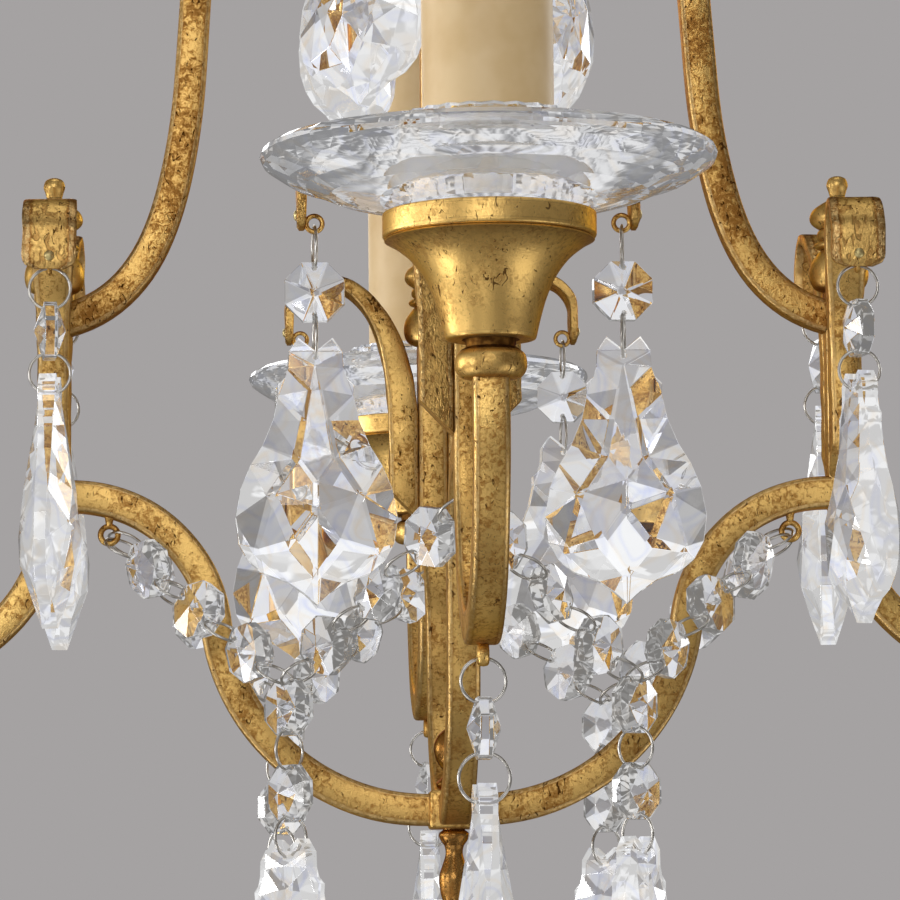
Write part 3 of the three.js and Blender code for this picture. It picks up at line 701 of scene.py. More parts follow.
bar_underside = LOWER_TOP - LOWER_BEND + bar_rise - HALF_BAR * LOWER_BEND / bar_rise
lower_eyelet = wire_ring("lower_eyelet", SWAG_EYELET_RADIUS, SWAG_EYELET_WIRE, GILT)
eyelet_height = bar_underside - LOWER_EYELET_STEM - SWAG_EYELET_RADIUS
lower_eyelet.data.transform(at(SEATED_START - LOWER_EYELET_INSET, 0, eyelet_height))
eyelet_stem = turn("eyelet_stem", [[
    (0, eyelet_height + SWAG_EYELET_RADIUS), (0.8, eyelet_height + SWAG_EYELET_RADIUS),
    (1.1, bar_underside - 0.2), (1.5, bar_underside + 0.8), (0, bar_underside + 1.0),
]], GILT, 12)
eyelet_stem.data.transform(at(SEATED_START - LOWER_EYELET_INSET, 0, 0))
fit_to_arms(join("lower_bar", [lower_bar, lower_eyelet, eyelet_stem]), "lower_bar")

# Bottom hub and its finials
# A square block takes the four lower bars. A rod through it holds a ball finial above and a vase below.
# The vase ends in a wire eyelet for the bottom drop.
HUB_WIDTH = 12.7
HUB_BLOCK = 9.6
HUB_EASED_EDGE = 0.9
bpy.ops.mesh.primitive_cube_add(size=1)
hub = bpy.context.object
hub.name = "bottom_hub_gilt"
hub.data.transform(Matrix.Diagonal((HUB_WIDTH, HUB_WIDTH, HUB_BLOCK, 1)))
with reworking():
    bpy.ops.mesh.bevel(offset=HUB_EASED_EDGE, segments=3, affect="EDGES")
coat(hub, GILT)
smooth(hub)
set_down(hub)
fit(hub, "gilt_iron", "frame", "bottom_hub")

UPPER_SEAT = HUB_BLOCK / 2 + 0.3
# The ball and the vase take the gilt darkened as painted shade.
ball = turn("hub_finial_gilt", [
    [(0, -1), (3.1, -1), (3.1, 0)],
    eased([(3.1, 0), (4.2, 0.7), (4.3, 1.7), (3.3, 2.7), (2.6, 3.4)], 4),
    eased([(2.6, 3.4), (2.5, 4.4), (2.9, 5.3)], 4),
    eased([(2.9, 5.3), (4.2, 7.2), (4.9, 9.6), (4.8, 11.6), (3.7, 13.9), (1.8, 15.5), (0, 16)]),
], SHADED_GILT, 48, UPPER_SEAT)
set_down(ball)
fit(ball, "gilt_iron", "frame", "hub_finial")

LOWER_SEAT = -HUB_BLOCK / 2 - 0.3
VASE_TIP = 30.0
vase = turn("vase", [
    [(0, 1), (2.8, 1), (2.8, 0)],
    eased([(2.8, 0), (3.7, -0.7), (3.85, -1.6), (3.3, -2.8), (2.5, -3.9)], 4),
    eased([(2.5, -3.9), (2.2, -5.2), (2.3, -6.6), (3.0, -8.8), (3.8, -11.2), (3.9, -13.4), (3.4, -16.6),
                  (2.3, -19.8), (1.6, -21.8)]),
    eased([(1.6, -21.8), (2.3, -23), (2.35, -24.2), (1.8, -26), (1.2, -28), (0, -VASE_TIP)]),
], SHADED_GILT, 48, LOWER_SEAT)
vase_eyelet = wire_ring("vase_eyelet", ARM_EYELET_RADIUS, ARM_EYELET_WIRE, GILT)
vase_eyelet.data.transform(at(0, 0, LOWER_SEAT - VASE_TIP - ARM_EYELET_RADIUS + 0.1))
vase = join("bottom_finial_gilt", [vase, vase_eyelet])
set_down(vase)
fit(vase, "gilt_iron", "frame", "bottom_finial")

# Top hub and hanging loop
# A turned hub takes the upper bars, and a forged loop is screwed into it.
# A hook or a chain link passes through the loop, and the inside of its crown bears on it.
TOP_HUB = 378.0
top_hub = turn("top_hub_gilt", [
    eased([(0, -52), (2.6, -51.4), (4.6, -49), (4.4, -46.6), (3.3, -44.8)]),
    eased([(3.3, -44.8), (5.0, -42.4), (8.4, -39.6), (9.6, -38)]),
    [(9.6, -38), (11, -35.6)],
    [(11, -35.6), (11, -16.6)],
    [(11, -16.6), (9.4, -14)],
    eased([(9.4, -14), (7.2, -11.6), (5.1, -8.4)]),
    eased([(5.1, -8.4), (7.6, -6.4), (7.9, -3.6), (7.3, -0.4), (6.4, 0)]),
    [(6.4, 0), (0, 0)],
], TURNED_GILT, 64, TOP_HUB)
set_down(top_hub)
fit(top_hub, "gilt_iron", "frame", "top_hub")

LOOP_RADIUS = 13.0
LOOP_WIRE = 5.0
LOOP_CENTRE = TOP_HUB + LOOP_WIRE / 2 + LOOP_RADIUS
loop = wire_ring("loop", LOOP_RADIUS, LOOP_WIRE, GILT, 72, 20)
loop.data.transform(at(0, 0, LOOP_CENTRE))
shank = turn("shank", [
    [(0, 0), (5.2, 0)],
    [(5.2, 0), (5.2, 1.2)],
    eased([(5.2, 1.2), (4.0, 1.9), (3.3, 3.2), (3.1, 4.4)]),
    [(3.1, 4.4), (0, 4.4)],
], TURNED_GILT, 40, TOP_HUB)
loop = join("hanging_loop_gilt", [loop, shank])
set_down(loop)
fit(loop, "gilt_iron", "frame", "hanging_loop")

# Candle cups
# A spun flared cup with a plain band at its rim sits on a turned knob at the end of each J arm.
# The threaded end of the arm runs up through both. Shade is painted dark into the groove between them, under
# the band and on the knob.


def umber_painted_shade(name):
    """Painted shade for a groove, dark umber brown with a little mottling."""
    finish, shader, place = new_finish(name)
    shade_mottle = place.noise(600, 3)
    shade_mottle.ramp(0.4, 0.7).mix(srgb(84, 54, 24), srgb(138, 98, 48)).feed(shader, "Base Color")
    (0.45 + shade_mottle * 0.2).feed(shader, "Roughness")
    shader.inputs["Metallic"].default_value = 0.9
    shader.inputs["Specular Tint"].default_value = EDGE_TINT
    return finish


NECK_SHADE = umber_painted_shade("umber painted shade")
KNOB_BASE = STEM_TOP - 0.7
KNOB = 8.4
CUP_FOOT = KNOB_BASE + KNOB
CUP_RIM = STEM_TOP + 35.7
BAND = 6.0
BAND_SHADE_FADE = 7.0
PAINTED_BAND_SHADE = -0.62
PAINTED_KNOB_SHADE = -0.42
NECK = 2.2
NECK_RADIUS = 6.6


def lifted(points, rise):
    return [(radius, height + rise) for radius, height in points]


cup = turn("candle_cup", [
    [(0, KNOB_BASE), (5.0, KNOB_BASE)],
    lifted(eased([
        (5.0, 0), (6.6, 0.4), (7.7, 1.8), (7.9, 3.6), (7.5, 5.3), (6.2, 6.5), (5.4, 6.9),
    ]), KNOB_BASE),
    lifted([(5.4, 6.9), (5.6, 8.6)], KNOB_BASE),
    lifted([(5.6, 0.2), (8.9, 0.1)], CUP_FOOT),
    lifted(eased([(8.9, 0.1), (9.8, 0.3), (10.1, 1.0)], 3), CUP_FOOT),
    lifted(eased([
        (10.1, 1.0), (11.0, 4.8), (12.3, 9.2), (14.3, 13.8), (17.3, 17.9), (20.7, 20.7), (23.0, 22.0),
    ]), CUP_FOOT),
    lifted([(23.0, -6.0), (22.6, -5.6)], CUP_RIM),
    lifted(eased([(22.6, -5.6), (23.3, -5.2), (23.4, -4.4)], 3), CUP_RIM),
    lifted([(23.4, -4.4), (23.4, -0.8)], CUP_RIM),
    lifted(eased([(23.4, -0.8), (23.3, -0.2), (22.8, 0)], 3), CUP_RIM),
    lifted([(22.8, 0), (21.8, -0.1), (21.7, -3.2), (0, -3.2)], CUP_RIM),
], TURNED_GILT, 96)
# Painted shade: darkest just under the band and fading over 7 mm, and all over the knob below the neck.
for vertex, mark in zip(cup.data.vertices, cup.data.attributes["wear_highlight_and_shade"].data):
    below_band = (CUP_RIM - BAND - vertex.co.z) / BAND_SHADE_FADE
    if 0 <= below_band < 1:
        mark.value = min(mark.value, PAINTED_BAND_SHADE * (1 - below_band))
    elif vertex.co.z < CUP_FOOT - NECK:
        mark.value = min(mark.value, PAINTED_KNOB_SHADE)
# Painted shade: the neck between knob and cup takes the dark umber finish.
coat(cup, NECK_SHADE)
for face in cup.data.polygons:
    reach = hypot(face.center.x, face.center.y)
    face.material_index = reach < NECK_RADIUS and CUP_FOOT - NECK < face.center.z < CUP_FOOT + 0.6
fit_to_arms(cup, "candle_cup", CANDLE_RADIUS)

# Glass drip pans
# Each is a thick pressed and cut glass saucer whose foot drops into the cup.
# Its underside is cut in rows of facets, and a heavy collar stands round the candle.


def cut_glass(name, bends, shine, body, tint, painted_glow):
    """Lead glass. Faint warm and cold bands stand for the way that its cut edges split the light."""
    finish, shader, place = new_finish(name)
    shader.inputs["Transmission Weight"].default_value = 1.0
    shader.inputs["IOR"].default_value = bends
    shader.inputs["Roughness"].default_value = 0.0
    shader.inputs["Specular IOR Level"].default_value = shine
    split = place.noise(120, 0, 0.5)
    cold = split.ramp(0.34, 0.41) * split.ramp(0.41, 0.48, 1.0, 0.0)
    warm = split.ramp(0.53, 0.6) * split.ramp(0.6, 0.67, 1.0, 0.0)
    colour = (cold * 0.8 * tint).mix(body, srgb(204, 214, 255))
    colour = (warm * 0.5 * tint).mix(colour, srgb(255, 222, 164))
    colour.feed(shader, "Base Color")
    light_through(finish, shader, painted_glow)
    return finish


def ground_glass(name):
    """The foot of a pan, left as the grinding wheel leaves it."""
    finish, shader, place = new_finish(name)
    shader.inputs["Transmission Weight"].default_value = 0.35
    shader.inputs["IOR"].default_value = 1.3
    cloud = place.noise(300, 2)
    cloud.mix(srgb(226, 227, 229), srgb(244, 244, 244)).feed(shader, "Base Color")
    (0.3 + cloud * 0.25).feed(shader, "Roughness")
    light_through(finish, shader)
    return finish


TRAPPED = 1.5
FLAT_PATCH = 2.4
LIT_SHARE = 0.55


def light_through(finish, shader, painted_glow=None):
    """Lets lamps and soft light through to what stands in or behind the glass, and lets trapped light out.

    Painted glow says what the glass glows with where light is thrown about inside it until it fades: how many
    patches to a metre, from which grey to which white, and after how many reflections inside. The glow is
    painted brighter close to the lamp holder.
    """
    tree = finish.node_tree
    ray = ray_reader(tree)
    passing = ray("Is Shadow Ray") | ray("Is Diffuse Ray")
    whole = Paint(tree, shader.outputs[0])
    if painted_glow:
        patches, grey, white, reflections = painted_glow
        place = Paint(tree, tree.nodes.new("ShaderNodeTexCoord").outputs["Object"])
        holder_glow = place.attribute("painted_holder_glow")
        cells = place.through("Mapping", Vector=place, Scale=(1.0, 1.0, FLAT_PATCH)).through(
            "TexVoronoi", out=1, settings=[("feature", "SMOOTH_F1")], Scale=patches, Smoothness=0.3)
        # Painted glow: grey to white patches, brighter by the holder, that the glass shows after reflecting
        # inside.
        faded = (cells + holder_glow * LIT_SHARE - 0.1).ramp(0.2, 0.95).mix(grey, white)
        glow = place.through("Emission", Color=faded, Strength=1.0)
        thrown = ray("Glossy Depth") > reflections - 0.5
        whole = place.through("MixShader", _0=thrown, _1=whole, _2=glow)
    else:
        passing = passing | (ray("Glossy Depth") > TRAPPED)
    open_air = passing.through("BsdfTransparent", Color=srgb(255, 255, 255))
    whole = passing.through("MixShader", _0=passing, _1=whole, _2=open_air)
    tree.links.new(whole.socket, tree.nodes["Material Output"].inputs["Surface"])


PEAR_CRYSTAL = cut_glass(
    "cut crystal", 1.56, 1.0, srgb(252, 253, 255), 0.6,
    (110.0, srgb(208, 207, 206), srgb(255, 255, 255), 1))
BEAD_CRYSTAL = cut_glass(
    "bead crystal", 1.56, 1.0, srgb(240, 241, 244), 0.3,
    (260.0, srgb(128, 126, 123), srgb(240, 239, 237), 1))
PAN_GLASS = cut_glass(
    "drip pan glass", 1.5, 0.7, srgb(226, 227, 230), 0.4,
    (150.0, srgb(150, 150, 151), srgb(246, 246, 246), 2))
GROUND_GLASS = ground_glass("ground glass")
PAN_FOOT = CUP_RIM - 2.9
COLLAR_OUTER = 20.5
PAN_SIDES = 48
FLUTE = 0.93
FLUTES_FROM = CUP_RIM + 13.0
LIT_BY_HOLDER = 14.0
EVEN_STEP_LIGHT = 0.2


def odd_step(vertex, sides):
    """Whether a vertex of a turned shape stands on an odd one of its sides."""
    return round(atan2(vertex.co.y, vertex.co.x) * sides / (2 * pi)) % 2


def drawn_in(vertex, share):
    vertex.co = Matrix.Diagonal((share, share, 1)) @ vertex.co


def cut_facets(piece, rows):
    """Turns every other row of a turned shape by half a step, as cut facets lie, and flutes the collar."""
    half_step = Matrix.Rotation(pi / PAN_SIDES, 4, "Z")
    for vertex in piece.data.vertices:
        radius = hypot(vertex.co.x, vertex.co.y)
        if any(abs(vertex.co.z - height) < 0.01 and abs(radius - reach) < 0.05 for reach, height in rows):
            vertex.co = half_step @ vertex.co
        if vertex.co.z > FLUTES_FROM and abs(radius - COLLAR_OUTER) < 0.9 and odd_step(vertex, PAN_SIDES):
            drawn_in(vertex, FLUTE)
    with reworking():
        bpy.ops.mesh.quads_convert_to_tris(quad_method="SHORTEST_DIAGONAL")
        bpy.ops.mesh.tris_convert_to_quads(face_threshold=radians(0.5))
    # Painted glow by the holder: brighter towards the collar, full on odd steps and faint on even ones.
    holder_glow = piece.data.attributes.new("painted_holder_glow", "FLOAT", "POINT")
    for vertex, mark in zip(piece.data.vertices, holder_glow.data):
        beyond = max(hypot(vertex.co.x, vertex.co.y) - COLLAR_OUTER, 0.0)
        light = 1.0 if odd_step(vertex, PAN_SIDES) else EVEN_STEP_LIGHT
        mark.value = max(1 - beyond / LIT_BY_HOLDER, 0.0) * light
    bpy.ops.object.shade_flat()
    for face in piece.data.polygons:
        reach = hypot(face.center.x, face.center.y)
        face.use_smooth = face.normal.z > 0.7 and reach > COLLAR_OUTER + 1
        face.material_index = face.center.z < PAN_FOOT + 0.1


PAN_ROWS = [(29.0, 2.4), (40.0, 6.2), (47.0, 9.3)]
pan = turn("bobeche", [[
    (13.6, -2.9), (21.2, -2.9), (21.2, 0.3), PAN_ROWS[0], (35.0, 4.0), PAN_ROWS[1], (44.0, 7.4), PAN_ROWS[2],
    (49.2, 10.8), (50.0, 12.4), (49.6, 13.6), (47.6, 14.8), (40.0, 14.4), (31.0, 13.0), (21.7, 12.0),
    (COLLAR_OUTER, 13.2), (COLLAR_OUTER, 20.6), (19.7, 21.4), (15.65, 21.4), (15.05, 20.8), (15.05, 7.0),
    (8.0, 7.0), (8.0, 4.6), (12.4, 4.6), (13.6, 3.4),
]], PAN_GLASS, PAN_SIDES, CUP_RIM, 4, closed=True)
coat(pan, GROUND_GLASS)
cut_facets(pan, lifted(PAN_ROWS, CUP_RIM))
fit_to_arms(pan, "bobeche", CANDLE_RADIUS, "bobeche_glass")

# Candle sleeves
# A wax-coloured card tube stands in the collar of each drip pan and hides the lamp holder.
# It has the slight unevenness of rolled and dipped card.
SLEEVE_FOOT = CUP_RIM + 7.3
SLEEVE_RADIUS = 14.45
SLEEVE_LENGTH = 100.0
SLEEVE_SEAT = 13.1


def dipped_card(name):
    finish, shader, place = new_finish(name)
    cloud = place.noise(70, 3)
    streak = place.noise(900, 2)
    cloud.ramp(0.3, 0.7).mix(srgb(203, 172, 122), srgb(214, 186, 140)).feed(shader, "Base Color")
    (0.46 + streak * 0.14).feed(shader, "Roughness")
    shader.inputs["Coat Roughness"].default_value = 0.4
    shader.inputs["Coat Weight"].default_value = 0.1
    place.through("Bump", Height=cloud + streak * 0.1, Strength=0.25, Distance=0.0003).feed(shader, "Normal")
    return finish


CARD = dipped_card("dipped card")
bore = SLEEVE_RADIUS - 1.0
sleeve = turn("candle_sleeve", [
    [(bore, SLEEVE_SEAT), (SLEEVE_RADIUS - 0.2, SLEEVE_SEAT)],
    [(SLEEVE_RADIUS - 0.2, SLEEVE_SEAT), (SLEEVE_RADIUS, SLEEVE_SEAT + 0.2),
     (SLEEVE_RADIUS, SLEEVE_LENGTH - 0.4)],
    [(SLEEVE_RADIUS, SLEEVE_LENGTH - 0.4), (SLEEVE_RADIUS - 0.4, SLEEVE_LENGTH), (bore + 0.2, SLEEVE_LENGTH)],
    [(bore + 0.2, SLEEVE_LENGTH), (bore, SLEEVE_LENGTH - 0.2), (bore, SLEEVE_SEAT)],
], CARD, 96, SLEEVE_FOOT, closed=True)
fit_to_arms(sleeve, "candle_sleeve", CANDLE_RADIUS, "candle_sleeve")

# Lamp holders
# A moulded holder stands on the threaded end of each arm inside the sleeve, with a brass screw shell.
# Its mouth shows from above, and its ribbed white base shows through the glass collar.
HOLDER_RADIUS = 12.65
HOLDER_SIDES = 48
RIB = 0.955
RIBBED_FROM = 11.5
MOUTH_RADIUS = 8.0
MOUTH_DEPTH = 27.0
HOLDER_MOUTH = SLEEVE_LENGTH - 0.6
SOCKET_FLOOR = HOLDER_MOUTH - MOUTH_DEPTH


def moulding(name):
    finish, shader, place = new_finish(name)
    cloud = place.noise(160, 3)
    cloud.ramp(0.3, 0.7).mix(srgb(236, 235, 232), srgb(244, 243, 240)).feed(shader, "Base Color")
    (0.26 + cloud * 0.1).feed(shader, "Roughness")
    return finish


MOULDING = moulding("lamp holder moulding")
BRASS = worn_brass("screw shell brass", srgb(198, 160, 84), 0.25)
holder = turn("holder", [
    [(0, -10.48), (21.0, -10.48), (21.0, -10.25), (12.9, -10.25)],
    [(12.9, -10.25), (13.3, -9.9), (13.3, -4.2), (12.1, -2.9), (7.8, -2.9)],
    [(7.8, -2.9), (7.8, 0.1)],
    [(7.8, 0.1), (13.9, 0.2)],
    [(13.9, 0.2), (14.3, 0.8), (14.3, SLEEVE_SEAT - 0.6), (14.0, SLEEVE_SEAT - 0.2)],
    [(14.0, SLEEVE_SEAT - 0.2), (13.1, SLEEVE_SEAT - 0.1)],
    eased([(13.1, SLEEVE_SEAT - 0.1), (12.6, 15.1), (9.0, 17.5), (7.0, 20.5)]),
    [(7.0, 20.5), (7.0, 52)],
    eased([(7.0, 52), (9.0, 56), (12.2, 60), (HOLDER_RADIUS, 62)]),
    [(HOLDER_RADIUS, 62), (HOLDER_RADIUS, HOLDER_MOUTH - 0.8)],
    eased([
        (HOLDER_RADIUS, HOLDER_MOUTH - 0.8), (HOLDER_RADIUS - 0.3, HOLDER_MOUTH - 0.1),
        (HOLDER_RADIUS - 1, HOLDER_MOUTH),
    ], 3),
    [(HOLDER_RADIUS - 1, HOLDER_MOUTH), (MOUTH_RADIUS + 0.5, HOLDER_MOUTH)],
    [(MOUTH_RADIUS + 0.5, HOLDER_MOUTH), (MOUTH_RADIUS, HOLDER_MOUTH - 1), (MOUTH_RADIUS, SOCKET_FLOOR)],
    [(MOUTH_RADIUS, SOCKET_FLOOR), (0, SOCKET_FLOOR)],
], MOULDING, HOLDER_SIDES, SLEEVE_FOOT)
for vertex in holder.data.vertices:
    ribbed = hypot(vertex.co.x, vertex.co.y) > RIBBED_FROM and vertex.co.z < SLEEVE_FOOT + SLEEVE_SEAT
    if ribbed and odd_step(vertex, HOLDER_SIDES):
        drawn_in(vertex, RIB)
THREAD_PITCH = 2.8
TURN_STEPS = 8
thread = [(MOUTH_RADIUS - 0.25 - 0.3 * (1 - cos(2 * pi * step / TURN_STEPS)),
           HOLDER_MOUTH - 3 - THREAD_PITCH * step / TURN_STEPS) for step in range(7 * TURN_STEPS + 1)]
shell = turn("screw_shell", [
    [(MOUTH_RADIUS - 0.1, thread[0][1]), thread[0]],
    thread,
    [thread[-1], (MOUTH_RADIUS - 0.1, thread[-1][1])],
], BRASS, 40, SLEEVE_FOOT, closed=True)
contact = turn("contact", [
    [(0, SOCKET_FLOOR - 0.5), (2.6, SOCKET_FLOOR - 0.5)],
    [(2.6, SOCKET_FLOOR - 0.5), (2.2, SOCKET_FLOOR + 1.6), (0, SOCKET_FLOOR + 2)],
], BRASS, 16, SLEEVE_FOOT)
holder = join("lamp_holder", [holder, shell, contact])
fit_to_arms(holder, "lamp_holder", CANDLE_RADIUS, "lamp_holder")

# Cut crystals and their wire rings
# Stock lead crystals: a 14 mm octagon drilled at both ends, and a 63 mm pear-shaped pendalogue.
# Bent steel wire rings link them. Each crystal is ground flat on a wheel, facet by facet.
OCTAGON = 14.0
OCTAGON_RIM = 3.0
OCTAGON_PEAK = 2.5
HOLE_SPAN = 11.0
DRILL = 0.62
ARRIS = 0.09
RING = 5.1
WIDE_RING = 5.8
WIRE = 0.75


def ring_wire(name):
    finish, shader, place = new_finish(name)
    dull = place.noise(500, 2)
    dull.mix(srgb(206, 204, 200), srgb(168, 163, 156)).feed(shader, "Base Color")
    (0.24 + dull * 0.12).feed(shader, "Roughness")
    shader.inputs["Metallic"].default_value = 1.0
    return finish


STEEL = ring_wire("ring steel")


def modified(piece, kind, **settings):
    """Gives a piece a modifier with these settings, and applies it."""
    modifier = piece.modifiers.new(kind, kind)
    for name, value in settings.items():
        setattr(modifier, name, value)
    bpy.context.view_layer.objects.active = piece
    bpy.ops.object.modifier_apply(modifier=modifier.name)


def drilled(piece, holes, length):
    """Drills holes through a crystal along X, at the given heights."""
    for height in holes:
        bpy.ops.mesh.primitive_cylinder_add(
            vertices=10, radius=DRILL, depth=length, location=(0, 0, height), rotation=(0, pi / 2, 0))
        drill = bpy.context.object
        modified(piece, "BOOLEAN", object=drill, solver="EXACT")
        bpy.data.objects.remove(drill)


def ground(piece, finish):
    """Finishes a crystal: its edges get the fine arris that catches the light."""
    modified(piece, "BEVEL", width=ARRIS, segments=1, limit_method="ANGLE", angle_limit=radians(8))
    piece.data.materials.clear()
    coat(piece, finish)


bpy.ops.mesh.primitive_cylinder_add(vertices=8, radius=OCTAGON / 2 / cos(pi / 8), depth=OCTAGON_RIM)
octagon = bpy.context.object
octagon.name = "octagon"
octagon.data.transform(turned_by(90, "Y") @ turned_by(22.5, "Z"))
bpy.ops.object.mode_set(mode="EDIT")
disc = bmesh.from_edit_mesh(octagon.data)
for face in disc.faces:
    face.select_set(abs(face.normal.x) > 0.9)
bmesh.update_edit_mesh(octagon.data)
bpy.ops.mesh.poke(offset=OCTAGON_PEAK)
bpy.ops.object.mode_set(mode="OBJECT")
drilled(octagon, (-HOLE_SPAN / 2, HOLE_SPAN / 2), OCTAGON)
ground(octagon, BEAD_CRYSTAL)

# Pendalogue
# One quarter is laid out facet by facet, then mirrored across and from front to back.
# Each point is its distance from the middle, its distance down from the top and its half thickness, and
# the points of the outline come first, from the notch at the top to the tip.
PEAR_HOLE = 4.7
PEAR_POINTS = {
    "notch": (0, 3.2, 2.3), "horn": (4.0, 0, 2.2), "shoulder": (6.3, 3.3, 2.2), "neck": (6.5, 7.2, 2.1),
    "step": (7.3, 9.6, 2.0), "ledge": (9.0, 11.2, 1.9), "waist": (8.8, 13.7, 1.9),
    "flare": (10.1, 19.5, 1.8), "hip": (12.6, 25.5, 1.7), "rise": (15.4, 30.0, 1.6),
    "side": (17.8, 35.7, 1.5), "belly": (19.0, 42.5, 1.5), "turn": (18.2, 48.6, 1.5),
    "heel": (16.0, 52.6, 1.5), "corner": (12.4, 55.6, 1.6), "sole": (7.0, 57.5, 1.8),
    "toe": (3.0, 60.3, 1.9), "tip": (0, 63.0, 2.0), "eye": (0, 6.7, 2.9), "ridge_top": (1.07, 12.5, 3.73),
    "ridge": (2.4, 20.0, 4.81), "fork": (4.0, 29.0, 6.11), "throat": (0, 34.5, 6.9),
    "wing": (9.6, 37.3, 6.1), "star": (0, 40.6, 7.9), "foot": (5.3, 47.8, 6.8), "spur": (13.6, 50.0, 3.7),
    "keel": (0, 55.2, 4.7),
}
PEAR_FACETS = [
    "notch horn shoulder eye", "eye shoulder neck", "eye neck step ridge_top",
    "ridge_top step ledge waist", "ridge_top waist flare ridge", "ridge flare hip fork",
    "eye ridge_top ridge fork throat", "fork hip rise wing", "throat fork wing", "star throat wing",
    "wing rise side", "wing side belly", "wing belly spur", "wing spur foot", "star wing foot",
    "star foot keel", "spur belly turn", "spur turn heel", "spur heel corner", "foot spur corner sole",
    "foot sole keel", "keel sole toe", "keel toe tip",
]


def cut_pear():
    """The pendalogue, hanging from its hole, with its faces along X."""
    names = list(PEAR_POINTS)
    places = [(thick, across, PEAR_HOLE - down) for across, down, thick in PEAR_POINTS.values()]
    faces = [[names.index(name) for name in facet.split()] for facet in PEAR_FACETS]
    rim = len(places)
    tip = names.index("tip")
    places += [(0, across, height) for _, across, height in places[:tip + 1]]
    faces += [[point, point + 1, rim + point + 1, rim + point] for point in range(tip)]
    pear = laid_out("pear", places, [], faces)
    modified(pear, "MIRROR", use_axis=(True, True, False), merge_threshold=0.001)
    with reworking():
        bpy.ops.mesh.normals_make_consistent(inside=False)
        bpy.ops.mesh.quads_convert_to_tris()
        bpy.ops.mesh.tris_convert_to_quads(face_threshold=radians(1.5), shape_threshold=radians(170))
    return pear


pear = cut_pear()
drilled(pear, (0,), 2 * OCTAGON)
ground(pear, PEAR_CRYSTAL)

rings = {radius: wire_ring(f"ring_{radius}", radius, WIRE, STEEL, 44) for radius in (RING, WIDE_RING)}


def placed(pattern, *moves):
    """A copy of a crystal or a ring, moved by the given steps, the last one first."""
    part = twin(pattern, pattern.name)
    for move in reversed(moves):
        part.data.transform(move)
    return part


def crystal_string(ring_radii, top, facing, twists):
    """Rings, octagons between them and a pear at the end, down from the top. Facing turns their faces."""
    parts = []
    height = 0.0
    base = at(0, 0, top) @ turned_by(facing, "Z")
    for order, radius in enumerate(ring_radii):
        if order:
            turn_about = turned_by(twists[2 * order - 1], "Z")
            parts.append(placed(octagon, base, turn_about, at(0, 0, height - HOLE_SPAN / 2)))
            height -= HOLE_SPAN
        turn_about = turned_by(twists[2 * order], "Z")
        parts.append(placed(rings[radius], base, turn_about, at(0, 0, height - radius)))
        height -= 2 * radius
    parts.append(placed(pear, base, turned_by(twists[-1], "Z"), at(0, 0, height)))
    return parts


def swing_of(name):
    """The joint that a string of crystals swings on."""
    return next(joint for joint in frame["joints"] if joint["name"] == f"{name}_swing")


def hang(name, parts, matrix=Matrix.Identity(4)):
    """Joins the parts of a string, sets it down where its joint is and hangs it there."""
    whole = join(f"{name}_cut", parts)
    whole.data.transform(at(*swing_of(name)["pos_m"]) @ matrix @ Matrix.Scale(MM, 4))
    fit(whole, "crystal", name, name)


# Drops of the crooks, the arms and the bottom finial
# Each drop is a ring, an octagon, a ring and a pendalogue, hung so that it turns a little as it likes.
# The arm drops and the bottom drop have a wider lower ring, and the arm drops face across their arms.
RING_SEAT = 1.275
DROP_TWISTS = {
    "front_left": (4, -3, 3, 2), "front_right": (-6, 4, -8, -3), "right_front": (3, 14, -5, 16),
    "right_rear": (-5, 8, 4, -8), "rear_right": (2, -9, 5, 7), "rear_left": (-4, 5, -3, -10),
    "left_rear": (6, -10, 4, 9), "left_front": (-3, 6, 5, -6),
}
for place, twists in DROP_TWISTS.items():
    facing = ARMS[place.split("_")[0]]
    hang(f"crook_drop_{place}", crystal_string([RING, RING], RING_SEAT, facing, twists))
for arm, turn_of_arm in ARMS.items():
    twists = {"front": (2, 3, -4, 5)}.get(arm, (-3, 6, 4, -7))
    hang(f"arm_drop_{arm}", crystal_string([RING, WIDE_RING], RING_SEAT, turn_of_arm + 90, twists))
hang("bottom_drop", crystal_string([RING, WIDE_RING], RING_SEAT, 90, (3, -5, 4, 8)))

# Swags
# Two runs of octagons hang from the eyelets of neighbouring bars and meet at a junction octagon.
# Under it hangs a short string. The rings of both runs share the junction's upper hole.
SWAG_TWISTS = {-1: (9, -14, 6), 1: (-8, 12, -5)}


def swag(name, beads, string_rings):
    joint = swing_of(name)
    run = Vector(joint["axis"]).normalized()
    across = Vector((0, 0, 1)).cross(run).normalized()
    lay_out = Matrix((run, across, run.cross(across))).transposed().to_4x4()
    half_span = hypot(joint["pos_m"][0], joint["pos_m"][1]) / MM
    length = (beads + 1) * 2 * RING - RING_SEAT + beads * HOLE_SPAN
    depth = sqrt(length ** 2 - half_span ** 2)
    slope = asin(depth / length) * 180 / pi
    parts = [placed(octagon, at(0, 0, -depth - HOLE_SPAN / 2), turned_by(90, "Z"))]
    for side, twists in SWAG_TWISTS.items():
        lay = at(side * half_span, 0, 0) @ turned_by(slope if side < 0 else 180 - slope, "Y")
        walked = -RING_SEAT
        for link in range(beads + 1):
            parts.append(placed(rings[RING], lay, at(walked + RING, 0, 0), turned_by(90, "X")))
            walked += 2 * RING
            if link < beads:
                parts.append(placed(
                    octagon, lay, at(walked + HOLE_SPAN / 2, 0, 0), turned_by(twists[link], "X"),
                    turned_by(90, "Z"), turned_by(90, "X"),
                ))
                walked += HOLE_SPAN
    parts += crystal_string(string_rings, -depth - HOLE_SPAN, 90, (4, -6, -4, 5))
    hang(name, parts, lay_out)


for corner in ("front_right", "rear_right", "rear_left", "front_left"):
    swag(f"lower_swag_{corner}", 3, [RING, RING])
    swag(f"upper_swag_{corner}", 2, [RING])

